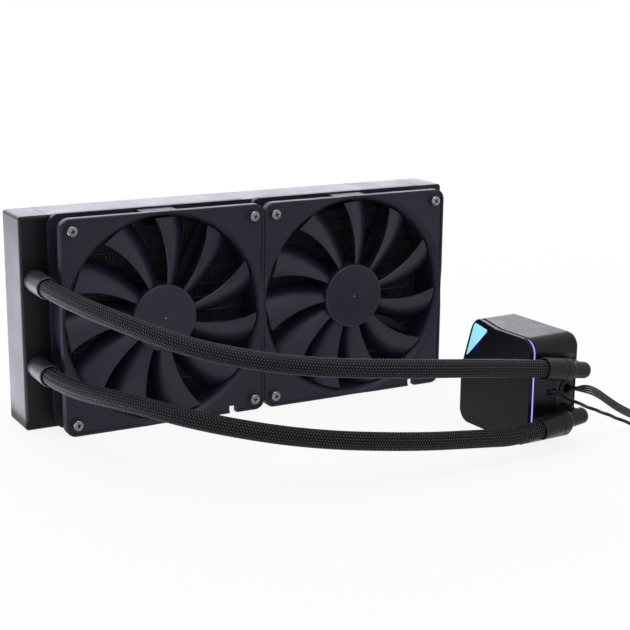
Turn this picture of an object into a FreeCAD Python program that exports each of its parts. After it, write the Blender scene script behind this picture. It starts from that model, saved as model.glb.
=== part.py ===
import FreeCAD, Part
import math
import os

# Liquid cooler for a processor: radiator, two fans, pump block, two hoses and two pump leads.
# Millimetres. The radiator stands on its long edge, its length along X, the fans on its -Y side.
# The origin is the middle of the radiator's lower edge face, on the surface it stands on.

Vec = FreeCAD.Vector

# radiator
radiator_depth = 34.0
radiator_below_fans = 1.0
core_below_fans = 5.4
left_tank_length = 19.0
right_tank_length = 18.0
tank_wall = 1.6
tank_edge_radius = 2.0
tank_seam_chamfer = 0.4
header_thickness = 1.6
rail_thickness = 1.5
rail_step = 0.4
rail_flange_height = 12.0
rail_bend_radius = 1.4
tube_count = 14
tube_height = 2.0
tube_depth = 26.0
tube_wall = 0.4
tube_end_reach = 1.5
fin_depth = 25.0
fin_sheet = 0.5
fin_loop_count = 15
divider_thickness = 1.6

# hose ports on the left tank
port_spacing = 56.0
port_mid_height = 70.0
port_from_end = 9.0
barb_bore_radius = 3.0
barb_pipe_radius = 4.2
barb_ridge_radius = 4.7
barb_collar_radius = 6.0
barb_collar_length = 2.0
barb_length = 19.0
sleeve_radius = 7.0
sleeve_length = 25.0
sleeve_ring_height = 0.3
sleeve_ring_width = 1.0

# fans
fan_size = 140.0
fan_depth = 25.0
fan_gap = 0.2
fan_pair_offset = 2.0
fan_hole_from_edge = 7.75
fan_hole_radius = 2.3
fan_bore_from_edge = 3.5
fan_duct_wall = 1.8
fan_front_flange = 5.5
fan_rear_flange = 4.0
fan_corner_radius = 7.0
fan_lip_spread = 9.0
fan_lip_depth = 6.0
fan_edge_chamfer = 0.5
fan_rim_width = 1.8
fan_rim_step = 0.6
fan_boss_radius = 4.75
fan_notch_width = 5.5
fan_notch_depth = 5.0
fan_notch_from_hole = 15.5
fan_pad_width = 24.0
fan_pad_from_edge = 1.0
motor_plate_radius = 21.0
motor_plate_thickness = 3.5
strut_count = 4
strut_width = 5.0
strut_lean = 18.0
strut_root = 4.0
strut_pivot = 2.0
strut_start_angle = 45.0
bearing_tube_wall = 1.2
bearing_outer_radius = 3.0
bearing_length = 15.0
bearing_floor = 2.0
fan_shaft_radius = 1.5
running_clearance = 0.04
slip_clearance = 0.05
hub_radius = 22.0
hub_wall = 1.6
hub_setback = 2.7
hub_edge_radius = 1.5
hub_plate_gap = 0.7
hub_boss_radius = 3.0
hub_boss_length = 2.2
hub_pip_radius = 0.9
hub_pip_height = 0.3
blade_count = 11
blade_tip_clearance = 1.0
blade_thickness = 1.7
blade_edge_thickness = 0.7
blade_front_setback = 3.6
blade_rear_height = 6.0
blade_sweep = 12.0
blade_camber = 0.12
rotor_rest_angles = {"left": 18.5, "right": 21.0}
magnet_thickness = 3.0
magnet_length = 12.0
stator_radius = 15.6
stator_length = 8.5
stator_arm_width = 4.5
stator_coil_half = 4.0
stator_shoe = 1.6
stator_shoe_half = 9.5
circuit_board_radius = 16.5
circuit_board_thickness = 1.5
screw_radius = 1.7
screw_head_radius = 3.5
screw_head_height = 2.3
screw_length = 28.0

# pump block, in its own frame: x from its front face to its rear, y across, z up
pump_x = 108.2
pump_y = -155.7
pump_turn = 3.35
pump_width = 69.0
pump_depth = 36.8
pump_corner_radius = 9.0
facet_leg = 33.6
facet_push = 9.5
face_plate_thickness = 2.5
face_edge_chamfer = 0.35
light_gap = 1.9
light_ring_inset = 1.0
light_ring_width = 4.5
cap_wall = 2.0
window_leg = 19.5
window_edge = 3.5
window_round = 2.0
window_sink = 0.2
fit_clearance = 0.2
light_board_edge = 7.5
light_board_thickness = 1.6
body_front = 9.0
control_board_edge = 9.3
control_board_thickness = 1.6
stator_pocket_radius = 18.5
stator_pocket_floor = 5.5
can_radius = 8.8
can_wall = 1.3
can_front = 12.0
chamber_edge = 3.0
chamber_length = 8.6
jet_pocket_edge = 3.2
jet_pocket_depth = 2.2
jet_plate_thickness = 0.8
jet_slot_width = 2.4
jet_slot_length = 26.0
jet_slot_offset = 4.0
cold_plate_inset = 4.0
cold_plate_thickness = 2.8
cold_plate_corner = 8.0
base_ring_inset = 1.0
base_ring_thickness = 1.9
microfin_width = 24.0
microfin_count = 6
microfin_gap = 2.0
gasket_from_screws = 2.8
gasket_width = 1.8
gasket_height = 1.4
base_screw_corner_edge = 5.5
base_screw_mid_edge = 2.5
base_screw_radius = 1.2
base_screw_length = 7.0
base_screw_head = 2.0
base_screw_head_height = 1.1
base_screw_sink = 0.2
base_hole_tip_room = 0.5
impeller_tip_room = 4.0
impeller_disc = 1.6
impeller_vane_height = 4.0
impeller_vane_width = 1.2
impeller_vane_count = 7
impeller_magnet_radius = 8.1
impeller_end_gap = 1.5
pump_shaft_radius = 1.25
motor_arm_width = 4.0

# ports, swivel elbows and leads on the pump's side
pump_port_from_rear = 7.8
pump_port_spacing = 30.6
pump_port_bore = 4.26
pump_port_reach = 8.5
elbow_pipe_radius = 5.2
elbow_neck_foot = 6.1
elbow_neck_top = 4.8
elbow_tail_reach = 7.3
elbow_tail_round = 3.6
elbow_shoulder = 6.5
elbow_standoff = 12.0
elbow_spigot_clearance = 0.06
swivel_play = 0.1
elbow_flange_radius = 4.9
elbow_flange_thickness = 1.0
elbow_groove_radius = 4.3
elbow_bore_radius = 2.7
elbow_barb_length = 17.0
upper_elbow_tilt = 9.4
lower_elbow_tilt = -6.0
ferrule_radius = 7.0
ferrule_length = 23.0
ferrule_foot_radius = 5.6
ferrule_bevel_length = 2.4
ferrule_line_width = 0.6
ferrule_line_depth = 0.25
ferrule_line_from_end = 7.4
seal_section = 0.8
cutout_depth = 14.4
cutout_half_height = 22.5
cutout_round = 6.5
cable_slot_length = 8.4
cable_slot_height = 4.0
cable_slot_drop = 0.3
port_plate_thickness = 1.2
grommet_from_rear = 6.2
grommet_radius = 5.2
grommet_neck_radius = 3.8
grommet_bore_radius = 2.9
grommet_rim = 1.0
cable_way_depth = 2.5

# hoses and leads
hose_radius = 6.3
hose_clearance = 0.1
upper_hose_run = 35.0
lower_hose_run = 32.0
lead_end_gap = 0.24
light_lead_from_slot = 2.2
pump_lead_radius = 1.6
light_lead_radius = 1.3
pump_lead_coil_radius = 29.0
pump_lead_coil_width = 3.2
pump_lead_coil_height = 5.8
light_lead_coil_radius = 14.0
light_lead_coil_width = 5.4
light_lead_coil_height = 2.8
pump_plug = (12.0, 10.2, 5.8)
light_plug = (11.0, 8.0, 4.6)

# what follows from the sizes above
fan_pitch = fan_size + fan_gap
fan_hole_spacing = fan_size - 2.0 * fan_hole_from_edge
fan_bore_radius = fan_size / 2.0 - fan_bore_from_edge
fan_pad_height = fan_size / 2.0 - fan_pad_from_edge
radiator_height = fan_size - radiator_below_fans
radiator_length = left_tank_length + 2.0 * fan_pitch - core_below_fans + right_tank_length
half_length = radiator_length / 2.0
half_depth = radiator_depth / 2.0
core_left = -half_length + left_tank_length
core_right = half_length - right_tank_length
port_x = -half_length + port_from_end
fan_height = fan_size / 2.0
fan_centres = {
    "left": fan_pair_offset - fan_pitch / 2.0,
    "right": fan_pair_offset + fan_pitch / 2.0,
}
core_height = radiator_height - 2.0 * rail_thickness
row_pitch = core_height / (tube_count + 1)
pump_half = pump_width / 2.0
face_back = face_plate_thickness + light_gap
cavity_front = face_back + cap_wall
cavity_half = pump_half - cap_wall
body_half = cavity_half - fit_clearance
control_board_radius = body_half - control_board_edge
cold_plate_width = pump_width - 2.0 * cold_plate_inset
base_screw_offset = cold_plate_width / 2.0 - base_screw_corner_edge
base_screw_mid_offset = cold_plate_width / 2.0 - base_screw_mid_edge
gasket_radius = base_screw_mid_offset - gasket_from_screws
jet_pocket_radius = gasket_radius - jet_pocket_edge
chamber_radius = jet_pocket_radius - chamber_edge
impeller_radius = chamber_radius - impeller_tip_room
chamber_front = pump_depth - jet_pocket_depth - chamber_length
stator_pocket_depth = chamber_front - stator_pocket_floor - body_front
pump_port_depth = pump_depth - pump_port_from_rear
grommet_x = pump_depth - grommet_from_rear
rear_face = pump_depth + cold_plate_thickness
base_head_low = rear_face - base_screw_head_height - base_screw_sink
base_screw_tip = base_head_low - base_screw_length
cutout_low = pump_half - cutout_half_height
cutout_high = pump_half + cutout_half_height
cable_slot_level = pump_half - cable_slot_drop
port_heights = {
    "upper": pump_half + pump_port_spacing / 2.0,
    "lower": pump_half - pump_port_spacing / 2.0,
}
elbow_tilts = {"upper": upper_elbow_tilt, "lower": lower_elbow_tilt}
port_plate_inner = -body_half - swivel_play
port_plate_outer = port_plate_inner - port_plate_thickness

os.makedirs("parts", exist_ok=True)
volumes = {}


def save(name, shape):
    """Write one sub-part."""
    shape = shape.removeSplitter()
    volumes[name] = shape.Volume
    shape.exportStep("parts/" + name + ".step")


def group(shapes):
    """Separate solids in one node."""
    return Part.makeCompound(shapes)


def block(x0, x1, y0, y1, z0, z1):
    """Box between two corners."""
    return Part.makeBox(x1 - x0, y1 - y0, z1 - z0, Vec(x0, y0, z0))


def rod(radius, start, axis, length):
    """Cylinder from start along axis."""
    return Part.makeCylinder(radius, length, start, axis)


def ring(outer, inner, start, axis, length):
    """Round tube from start along axis."""
    return rod(outer, start, axis, length).cut(rod(inner, start, axis, length))


def turned(profile, centre, axis, spin_from):
    """Solid of revolution from (along the axis, radius) pairs, drawn on the side spin_from."""
    points = [centre + axis * along + spin_from * radius for along, radius in profile]
    wire = Part.makePolygon(points + [points[0]])
    return Part.Face(wire).revolve(centre, axis, 360)


def rounded_square(width, height, radius, start, length):
    """Prism along +X with a rounded outline, centred on start."""
    prism = block(
        start.x,
        start.x + length,
        start.y - width / 2.0,
        start.y + width / 2.0,
        start.z - height / 2.0,
        start.z + height / 2.0,
    )
    along_x = [edge for edge in prism.Edges if abs(edge.tangentAt(edge.FirstParameter).x) > 0.99]
    return prism.makeFillet(radius, along_x)


# radiator


def tank(outer_x, inner_x, has_divider):
    """Folded and brazed end tank, open towards the core."""
    low, high = sorted((outer_x, inner_x))
    shell = block(low, high, -half_depth, half_depth, 0.0, radiator_height)
    outer_edges = [edge for edge in shell.Edges if abs(edge.CenterOfMass.x - inner_x) > 1.0]
    shell = shell.makeFillet(tank_edge_radius, outer_edges)
    seam = [edge for edge in shell.Edges if abs(edge.CenterOfMass.x - inner_x) < 0.01]
    shell = shell.makeChamfer(tank_seam_chamfer, seam)
    side = 1.0 if inner_x > outer_x else -1.0
    hollow_low, hollow_high = sorted((outer_x + side * tank_wall, inner_x))
    hollow = block(
        hollow_low,
        hollow_high,
        -half_depth + tank_wall,
        half_depth - tank_wall,
        rail_thickness,
        radiator_height - rail_thickness,
    )
    if has_divider:
        wall_low, wall_high = sorted((outer_x, inner_x - side * header_thickness))
        hollow = hollow.cut(
            block(
                wall_low,
                wall_high,
                -half_depth,
                half_depth,
                port_mid_height - divider_thickness / 2.0,
                port_mid_height + divider_thickness / 2.0,
            )
        )
    return shell.cut(hollow)


def tube_levels():
    """Middle heights of the flat coolant tubes."""
    return [rail_thickness + row_pitch * (row + 1) for row in range(tube_count)]


def flat_tube(level, height, depth, start, end):
    """Flat bar along X with rounded narrow edges."""
    half = height / 2.0
    reach = depth / 2.0 - half
    outline = Part.Wire(
        [
            Part.LineSegment(Vec(start, -reach, level + half), Vec(start, reach, level + half)).toShape(),
            Part.Arc(
                Vec(start, reach, level + half),
                Vec(start, reach + half, level),
                Vec(start, reach, level - half),
            ).toShape(),
            Part.LineSegment(Vec(start, reach, level - half), Vec(start, -reach, level - half)).toShape(),
            Part.Arc(
                Vec(start, -reach, level - half),
                Vec(start, -reach - half, level),
                Vec(start, -reach, level + half),
            ).toShape(),
        ]
    )
    return Part.Face(outline).extrude(Vec(end - start, 0, 0))


def header(inner_x, side):
    """Plate that closes a tank, with one slot for each tube end."""
    low, high = sorted((inner_x, inner_x - side * header_thickness))
    plate = block(
        low,
        high,
        -half_depth + tank_wall,
        half_depth - tank_wall,
        rail_thickness,
        radiator_height - rail_thickness,
    )
    slots = [flat_tube(level, tube_height, tube_depth, low - 1.0, high + 1.0) for level in tube_levels()]
    return plate.cut(slots)


def coolant_tube(level):
    """Flat tube that runs through both headers."""
    start = core_left - header_thickness - tube_end_reach
    end = core_right + header_thickness + tube_end_reach
    outer = flat_tube(level, tube_height, tube_depth, start, end)
    inner = flat_tube(level, tube_height - 2.0 * tube_wall, tube_depth - 2.0 * tube_wall, start, end)
    return outer.cut(inner)


def fin_strip(low, high):
    """Sheet folded up and down between two tubes, its crowns on their faces."""
    span = core_right - core_left
    step = span / (2.0 * fin_loop_count)
    points = []
    for index in range(2 * fin_loop_count + 1):
        level = high if index % 2 else low + fin_sheet
        points.append(Vec(core_left + index * step, -fin_depth / 2.0, level))
    lower = []
    for index in range(2 * fin_loop_count, -1, -1):
        level = high - fin_sheet if index % 2 else low
        lower.append(Vec(core_left + index * step, -fin_depth / 2.0, level))
    outline = points + lower
    face = Part.Face(Part.makePolygon(outline + [outline[0]]))
    return face.extrude(Vec(0, fin_depth, 0))


def side_rail(at_top):
    """Channel along the core's long edge, with screw holes in both flanges."""
    outer = block(
        core_left,
        core_right,
        -half_depth + rail_step,
        half_depth - rail_step,
        radiator_height - rail_flange_height,
        radiator_height,
    )
    bends = [
        edge
        for edge in outer.Edges
        if abs(edge.tangentAt(edge.FirstParameter).x) > 0.99 and edge.CenterOfMass.z > radiator_height - 1.0
    ]
    outer = outer.makeFillet(rail_bend_radius, bends)
    inner = block(
        core_left,
        core_right,
        -half_depth + rail_step + rail_thickness,
        half_depth - rail_step - rail_thickness,
        0.0,
        radiator_height - rail_thickness,
    )
    rail = outer.cut(inner)
    upper_level = fan_height + fan_hole_spacing / 2.0
    lower_level = radiator_height - (fan_height - fan_hole_spacing / 2.0)
    level = upper_level if at_top else lower_level
    holes = []
    for centre in fan_centres.values():
        for side in (-1.0, 1.0):
            start = Vec(centre + side * fan_hole_spacing / 2.0, -half_depth, level)
            holes.append(rod(screw_radius + slip_clearance, start, Vec(0, 1, 0), radiator_depth))
    rail = rail.cut(holes)
    if not at_top:
        rail = rail.mirror(Vec(0, 0, radiator_height / 2.0), Vec(0, 0, 1))
    return rail


def port_barb(level):
    """Threaded-in hose barb on the tank's front face."""
    profile = [
        (-tank_wall - 1.0, barb_bore_radius),
        (-tank_wall - 1.0, barb_pipe_radius),
        (0.0, barb_pipe_radius),
        (0.0, barb_collar_radius),
        (barb_collar_length, barb_collar_radius),
        (barb_collar_length, barb_pipe_radius),
        (barb_length * 0.45, barb_pipe_radius),
        (barb_length * 0.45, barb_ridge_radius),
        (barb_length * 0.65, barb_pipe_radius),
        (barb_length * 0.8, barb_pipe_radius),
        (barb_length * 0.8, barb_ridge_radius),
        (barb_length, barb_pipe_radius),
        (barb_length, barb_bore_radius),
    ]
    return turned(profile, Vec(port_x, -half_depth, level), Vec(0, -1, 0), Vec(1, 0, 0))


def port_sleeve(level):
    """Ferrule over the barb, with a fine ring near its foot."""
    ring_start = barb_collar_length + 0.8
    profile = [
        (0.0, barb_collar_radius + slip_clearance),
        (0.0, sleeve_radius),
        (ring_start, sleeve_radius),
        (ring_start, sleeve_radius + sleeve_ring_height),
        (ring_start + sleeve_ring_width, sleeve_radius + sleeve_ring_height),
        (ring_start + sleeve_ring_width, sleeve_radius),
        (sleeve_length - 0.6, sleeve_radius),
        (sleeve_length, sleeve_radius - 0.4),
        (sleeve_length, hose_radius + hose_clearance),
        (barb_length, hose_radius + hose_clearance),
        (barb_length, barb_ridge_radius + slip_clearance),
        (barb_collar_length + slip_clearance, barb_ridge_radius + slip_clearance),
        (barb_collar_length + slip_clearance, barb_collar_radius + slip_clearance),
    ]
    return turned(profile, Vec(port_x, -half_depth, level), Vec(0, -1, 0), Vec(1, 0, 0))


port_levels = {
    "upper": port_mid_height + port_spacing / 2.0,
    "lower": port_mid_height - port_spacing / 2.0,
}
left_tank = tank(-half_length, core_left, True)
for level in port_levels.values():
    left_tank = left_tank.cut(
        rod(
            barb_pipe_radius + slip_clearance,
            Vec(port_x, -half_depth - 1.0, level),
            Vec(0, 1, 0),
            tank_wall + 2.0,
        )
    )
save("left_end_tank", left_tank)
save("right_end_tank", tank(half_length, core_right, False))
save("left_header_plate", header(core_left, 1.0))
save("right_header_plate", header(core_right, -1.0))
save("top_side_rail", side_rail(True))
save("bottom_side_rail", side_rail(False))
save("coolant_tubes", group([coolant_tube(level) for level in tube_levels()]))
rows = [rail_thickness] + [level + tube_height / 2.0 for level in tube_levels()]
tops = [level - tube_height / 2.0 for level in tube_levels()] + [radiator_height - rail_thickness]
save("fin_strips", group([fin_strip(low, high) for low, high in zip(rows, tops)]))
for side, level in port_levels.items():
    save("radiator_" + side + "_barb", port_barb(level))
    save("radiator_" + side + "_sleeve", port_sleeve(level))


# fans, modelled lying on their back: the rear face at z = 0, the front at z = fan_depth

up = Vec(0, 0, 1)


def stand_fan(shape, centre):
    """Turn a fan piece upright in front of the radiator."""
    shape = shape.copy()
    shape.rotate(Vec(0, 0, 0), Vec(1, 0, 0), 90)
    shape.translate(Vec(centre, -half_depth, fan_height))
    return shape


def fan_plate(size, radius, low, high):
    """Square plate with rounded corners."""
    plate = block(-size / 2.0, size / 2.0, -size / 2.0, size / 2.0, low, high)
    upright = [edge for edge in plate.Edges if abs(edge.tangentAt(edge.FirstParameter).z) > 0.99]
    return plate.makeFillet(radius, upright)


def hole_centres():
    """The four screw positions of a fan."""
    half = fan_hole_spacing / 2.0
    return [Vec(x, y, 0) for x in (-half, half) for y in (-half, half)]


def fan_intake():
    """Rounded mouth that widens the bore towards the front face."""
    low = fan_depth - fan_lip_depth
    share = math.sqrt(0.5)
    throat = Vec(fan_bore_radius, 0, low)
    middle = Vec(fan_bore_radius + fan_lip_spread * (1.0 - share), 0, low + fan_lip_depth * share)
    rim = Vec(fan_bore_radius + fan_lip_spread, 0, fan_depth)
    curve = Part.Arc(throat, middle, rim).toShape()
    rest = Part.makePolygon([rim, Vec(0, 0, fan_depth), Vec(0, 0, low), throat])
    return Part.Face(Part.Wire([curve] + rest.Edges)).revolve(Vec(0, 0, 0), up, 360)


def fan_frame():
    """Open frame: two flanges joined by the round duct, with the motor plate on struts at the rear."""
    front_low = fan_depth - fan_front_flange
    shape = fan_plate(fan_size, fan_corner_radius, 0.0, fan_rear_flange)
    front_plate = fan_plate(fan_size, fan_corner_radius, front_low, fan_depth)
    front_edges = [edge for edge in front_plate.Edges if edge.BoundBox.ZMin > fan_depth - 0.01]
    shape = shape.fuse(front_plate.makeChamfer(fan_edge_chamfer, front_edges))
    shape = shape.fuse(rod(fan_bore_radius + fan_duct_wall, Vec(0, 0, 0), up, fan_depth))
    half_pad = fan_pad_width / 2.0
    shape = shape.fuse(block(-half_pad, half_pad, 0.0, fan_pad_height, fan_rear_flange, front_low))
    face = fan_depth - fan_rim_step
    inner = fan_size - 2.0 * fan_rim_width
    pocket = fan_plate(inner, fan_corner_radius - fan_rim_width, face, fan_depth)
    bosses = [rod(fan_boss_radius, centre + up * face, up, fan_rim_step) for centre in hole_centres()]
    pocket = pocket.cut(bosses)
    shape = shape.cut(pocket)
    shape = shape.cut(rod(fan_bore_radius, Vec(0, 0, 0), up, fan_depth))
    shape = shape.cut(fan_intake())
    shape = shape.cut([rod(fan_hole_radius, centre, up, fan_depth) for centre in hole_centres()])
    notch_right = fan_hole_spacing / 2.0 - fan_notch_from_hole + fan_notch_width / 2.0
    edge = -fan_size / 2.0
    notch = block(
        notch_right - fan_notch_width,
        notch_right,
        edge - 1.0,
        edge + fan_notch_depth,
        front_low - 1.0,
        fan_depth + 1.0,
    )
    shape = shape.cut(notch)
    motor = rod(motor_plate_radius, Vec(0, 0, 0), up, motor_plate_thickness)
    for index in range(strut_count):
        strut = block(
            motor_plate_radius - strut_root,
            fan_bore_radius + fan_duct_wall / 2.0,
            -strut_width / 2.0,
            strut_width / 2.0,
            0.0,
            motor_plate_thickness,
        )
        strut.rotate(Vec(motor_plate_radius - strut_pivot, 0, 0), up, strut_lean)
        strut = strut.common(rod(fan_bore_radius + fan_duct_wall / 2.0, Vec(0, 0, 0), up, fan_depth))
        strut.rotate(Vec(0, 0, 0), up, 360.0 / strut_count * index + strut_start_angle)
        motor = motor.fuse(strut)
    tube_radius = bearing_outer_radius + slip_clearance + bearing_tube_wall
    motor = motor.fuse(rod(tube_radius, Vec(0, 0, 0), up, bearing_floor + bearing_length))
    shape = shape.fuse(motor)
    bore = bearing_outer_radius + slip_clearance
    return shape.cut(rod(bore, Vec(0, 0, bearing_floor), up, fan_depth))


def blade_section(radius, lead_angle, width_angle, front, rear):
    """Closed cambered outline of a blade at one radius, on the plane square to that radius."""
    middle = math.radians(lead_angle - width_angle / 2.0)
    outward = Vec(math.cos(middle), math.sin(middle), 0)
    along = Vec(-math.sin(middle), math.cos(middle), 0)
    half = radius * math.tan(math.radians(width_angle / 2.0))
    base = outward * radius
    lead = base + along * half + up * front
    trail = base - along * half + up * rear
    chord = lead - trail
    normal = outward.cross(chord).normalize()
    if normal.z < 0:
        normal = normal * -1.0
    belly = (lead + trail) * 0.5 + normal * (chord.Length * blade_camber)
    edge = normal * (blade_edge_thickness / 2.0)
    skin = normal * (blade_thickness / 2.0)
    front_arc = Part.Arc(trail + edge, belly + skin, lead + edge).toShape()
    rear_arc = Part.Arc(lead - edge, belly - skin, trail - edge).toShape()
    nose = Part.LineSegment(lead + edge, lead - edge).toShape()
    tail = Part.LineSegment(trail - edge, trail + edge).toShape()
    return Part.Wire([front_arc, nose, rear_arc, tail])


def fan_blade():
    """One forward-swept, twisted blade, its tip trimmed to the rotor's round."""
    tip = fan_bore_radius - blade_tip_clearance
    front = fan_depth - blade_front_setback
    stations = [
        (hub_radius - hub_wall * 0.8, 0.0, 26.0, front - 0.8, blade_rear_height - 1.0),
        (hub_radius + (tip - hub_radius) * 0.33, 0.2, 23.0, front - 0.2, blade_rear_height),
        (hub_radius + (tip - hub_radius) * 0.68, 0.55, 21.5, front, blade_rear_height + 1.2),
        (tip + 0.8, 1.0, 20.5, front, blade_rear_height + 3.0),
    ]
    sections = [
        blade_section(radius, share * blade_sweep, width, high, low)
        for radius, share, width, high, low in stations
    ]
    blade = Part.makeLoft(sections, True, False)
    return blade.common(rod(tip, Vec(0, 0, 0), up, fan_depth))


def fan_rotor():
    """Hub cup with its ring of blades."""
    face = fan_depth - hub_setback
    skirt = motor_plate_thickness + hub_plate_gap
    cup = rod(hub_radius, Vec(0, 0, skirt), up, face - skirt)
    rim = [edge for edge in cup.Edges if edge.Closed and edge.CenterOfMass.z > face - 0.1]
    cup = cup.makeFillet(hub_edge_radius, rim)
    blade = fan_blade()
    blades = []
    for index in range(blade_count):
        copy = blade.copy()
        copy.rotate(Vec(0, 0, 0), up, 360.0 / blade_count * index)
        blades.append(copy)
    cup = cup.fuse(blades)
    cup = cup.fuse(rod(hub_pip_radius, Vec(0, 0, face), up, hub_pip_height))
    hollow = rod(hub_radius - hub_wall, Vec(0, 0, 0), up, face - hub_wall)
    cup = cup.cut(hollow)
    cup = cup.fuse(rod(hub_boss_radius, Vec(0, 0, face - hub_wall - hub_boss_length), up, hub_boss_length))
    shaft_hole = rod(fan_shaft_radius + 0.01, Vec(0, 0, 0), up, face - hub_wall)
    return cup.cut(shaft_hole)


def fan_stator():
    """Wound core on the bearing tube: four arms with shoes."""
    tube_radius = bearing_outer_radius + slip_clearance + bearing_tube_wall
    low = motor_plate_thickness + circuit_board_thickness
    core = rod(tube_radius + 2.6, Vec(0, 0, low), up, stator_length)
    for index in range(4):
        half = stator_arm_width / 2.0
        arm = block(0.0, stator_radius - 0.5, -half, half, low + 2.0, low + stator_length - 2.0)
        coil_end = stator_radius - stator_shoe - 1.0
        coil_half = stator_coil_half
        shoe_half = stator_shoe_half
        coil = block(tube_radius + 2.0, coil_end, -coil_half, coil_half, low, low + stator_length)
        shoe_low = Vec(0, 0, low + 1.0)
        shoe = ring(stator_radius, stator_radius - stator_shoe, shoe_low, up, stator_length - 2.0)
        shoe = shoe.common(block(0.0, stator_radius, -shoe_half, shoe_half, low, low + stator_length))
        piece = arm.fuse([coil, shoe])
        piece.rotate(Vec(0, 0, 0), up, 90.0 * index)
        core = core.fuse(piece)
    return core.cut(rod(tube_radius + slip_clearance, Vec(0, 0, low), up, stator_length))


def fan_magnet():
    """Magnet ring and yoke inside the hub's wall."""
    outer = hub_radius - hub_wall - slip_clearance
    low = fan_depth - hub_setback - hub_wall - magnet_length - 0.2
    return ring(outer, outer - magnet_thickness, Vec(0, 0, low), up, magnet_length)


def fan_screw(centre):
    """Long screw through both flanges into the radiator's rail."""
    shank = rod(screw_radius, centre + up * (fan_depth - screw_length), up, screw_length)
    return shank.fuse(rod(screw_head_radius, centre + up * fan_depth, up, screw_head_height))


def fan_board():
    """Round circuit board under the stator."""
    tube_radius = bearing_outer_radius + slip_clearance + bearing_tube_wall
    return ring(
        circuit_board_radius,
        tube_radius + slip_clearance,
        Vec(0, 0, motor_plate_thickness),
        up,
        circuit_board_thickness,
    )


bearing = ring(
    bearing_outer_radius,
    fan_shaft_radius + running_clearance,
    Vec(0, 0, bearing_floor),
    up,
    bearing_length,
)
shaft_low = bearing_floor + 0.3
shaft_top = fan_depth - hub_setback - hub_wall
shaft = rod(fan_shaft_radius, Vec(0, 0, shaft_low), up, shaft_top - shaft_low)
fan_pieces = {
    "frame": fan_frame(),
    "rotor": fan_rotor(),
    "shaft": shaft,
    "bearing": bearing,
    "stator": fan_stator(),
    "magnet_ring": fan_magnet(),
    "circuit_board": fan_board(),
    "screws": group([fan_screw(centre) for centre in hole_centres()]),
}
for side, centre in fan_centres.items():
    for name, piece in fan_pieces.items():
        placed = piece.copy()
        if name == "rotor":
            placed.rotate(Vec(0, 0, 0), up, rotor_rest_angles[side])
        save(side + "_fan_" + name, stand_fan(placed, centre))


# pump block

facet_angle = math.atan2(facet_push, facet_leg / math.sqrt(2.0))
facet_out = Vec(
    -math.cos(facet_angle),
    math.sin(facet_angle) / math.sqrt(2.0),
    math.sin(facet_angle) / math.sqrt(2.0),
)
facet_point = Vec(0.0, pump_half - facet_leg, pump_width)
pump_middle = Vec(0.0, 0.0, pump_half)
to_rear = Vec(1, 0, 0)


def stand_pump(shape):
    """Put a pump piece at its place on the floor."""
    shape = shape.copy()
    shape.rotate(Vec(0, 0, 0), up, pump_turn)
    shape.translate(Vec(pump_x, pump_y, 0))
    return shape


def pump_point(x, y, z):
    """A point of the pump's own frame, in the whole cooler's frame."""
    angle = math.radians(pump_turn)
    return Vec(
        pump_x + x * math.cos(angle) - y * math.sin(angle),
        pump_y + x * math.sin(angle) + y * math.cos(angle),
        z,
    )


def behind_facet(shape, depth):
    """Cut away what lies in front of the corner facet, moved in by depth."""
    size = 4.0 * pump_width
    tool = block(0.0, size, -size / 2.0, size / 2.0, -size / 2.0, size / 2.0)
    tool.Placement = FreeCAD.Placement(
        facet_point - facet_out * depth,
        FreeCAD.Rotation(Vec(1, 0, 0), facet_out),
    )
    return shape.cut(tool)


def pump_prism(front, rear, inset):
    """Rounded square block of the pump's outline, between two depths, under the facet."""
    start = Vec(front, 0.0, pump_half)
    width = pump_width - 2.0 * inset
    radius = max(pump_corner_radius - inset, 1.0)
    return behind_facet(rounded_square(width, width, radius, start, rear - front), front)


def window_prism(grow):
    """Rounded triangle in the facet's corner, as a prism along X."""
    side_y = pump_half - window_edge + grow
    side_z = pump_width - window_edge + grow
    leg = window_leg + grow * 3.4
    corners = [
        Vec(0.0, side_y, side_z),
        Vec(0.0, side_y - leg, side_z),
        Vec(0.0, side_y, side_z - leg),
    ]
    prism = Part.Face(Part.makePolygon(corners + [corners[0]])).extrude(Vec(pump_depth, 0, 0))
    along_x = [edge for edge in prism.Edges if abs(edge.tangentAt(edge.FirstParameter).x) > 0.99]
    return prism.makeFillet(window_round, along_x)


def front_outline(shape):
    """Edges round the front face and the facet, without the crease between the two."""
    outline = []
    for edge in shape.Edges:
        middle = edge.CenterOfMass
        at_front = middle.x < 0.01
        on_facet = abs((middle - facet_point).dot(facet_out)) < 0.01
        if at_front != on_facet:
            outline.append(edge)
    return outline


def round_front(shape, radius):
    """Round a box's two corners that face the front, seen along y."""
    low = shape.BoundBox.XMin
    across = [edge for edge in shape.Edges if edge.BoundBox.YLength > 0.1]
    return shape.makeFillet(radius, [edge for edge in across if edge.CenterOfMass.x < low + 0.01])


def square_points(offset):
    """Four points on the diagonals, around the pump's middle."""
    return [Vec(0, y, pump_half + z) for y in (-offset, offset) for z in (-offset, offset)]


def base_screw_points():
    """Eight screws that hold the cold plate."""
    mids = [Vec(0, base_screw_mid_offset * y, pump_half + base_screw_mid_offset * z) for y, z in
            ((-1, 0), (1, 0), (0, -1), (0, 1))]
    return square_points(base_screw_offset) + mids


face_plate = pump_prism(0.0, pump_depth, 0.0)
face_plate = face_plate.makeChamfer(face_edge_chamfer, front_outline(face_plate))
face_plate = face_plate.cut(pump_prism(face_plate_thickness, pump_depth + 1.0, -3.0))
face_plate = face_plate.cut(window_prism(fit_clearance / 2.0))
save("face_plate", stand_pump(face_plate))

window = pump_prism(window_sink, pump_depth, 0.0)
window = window.cut(pump_prism(face_plate_thickness, pump_depth + 1.0, -3.0))
save("corner_window", stand_pump(window.common(window_prism(0.0))))

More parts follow.
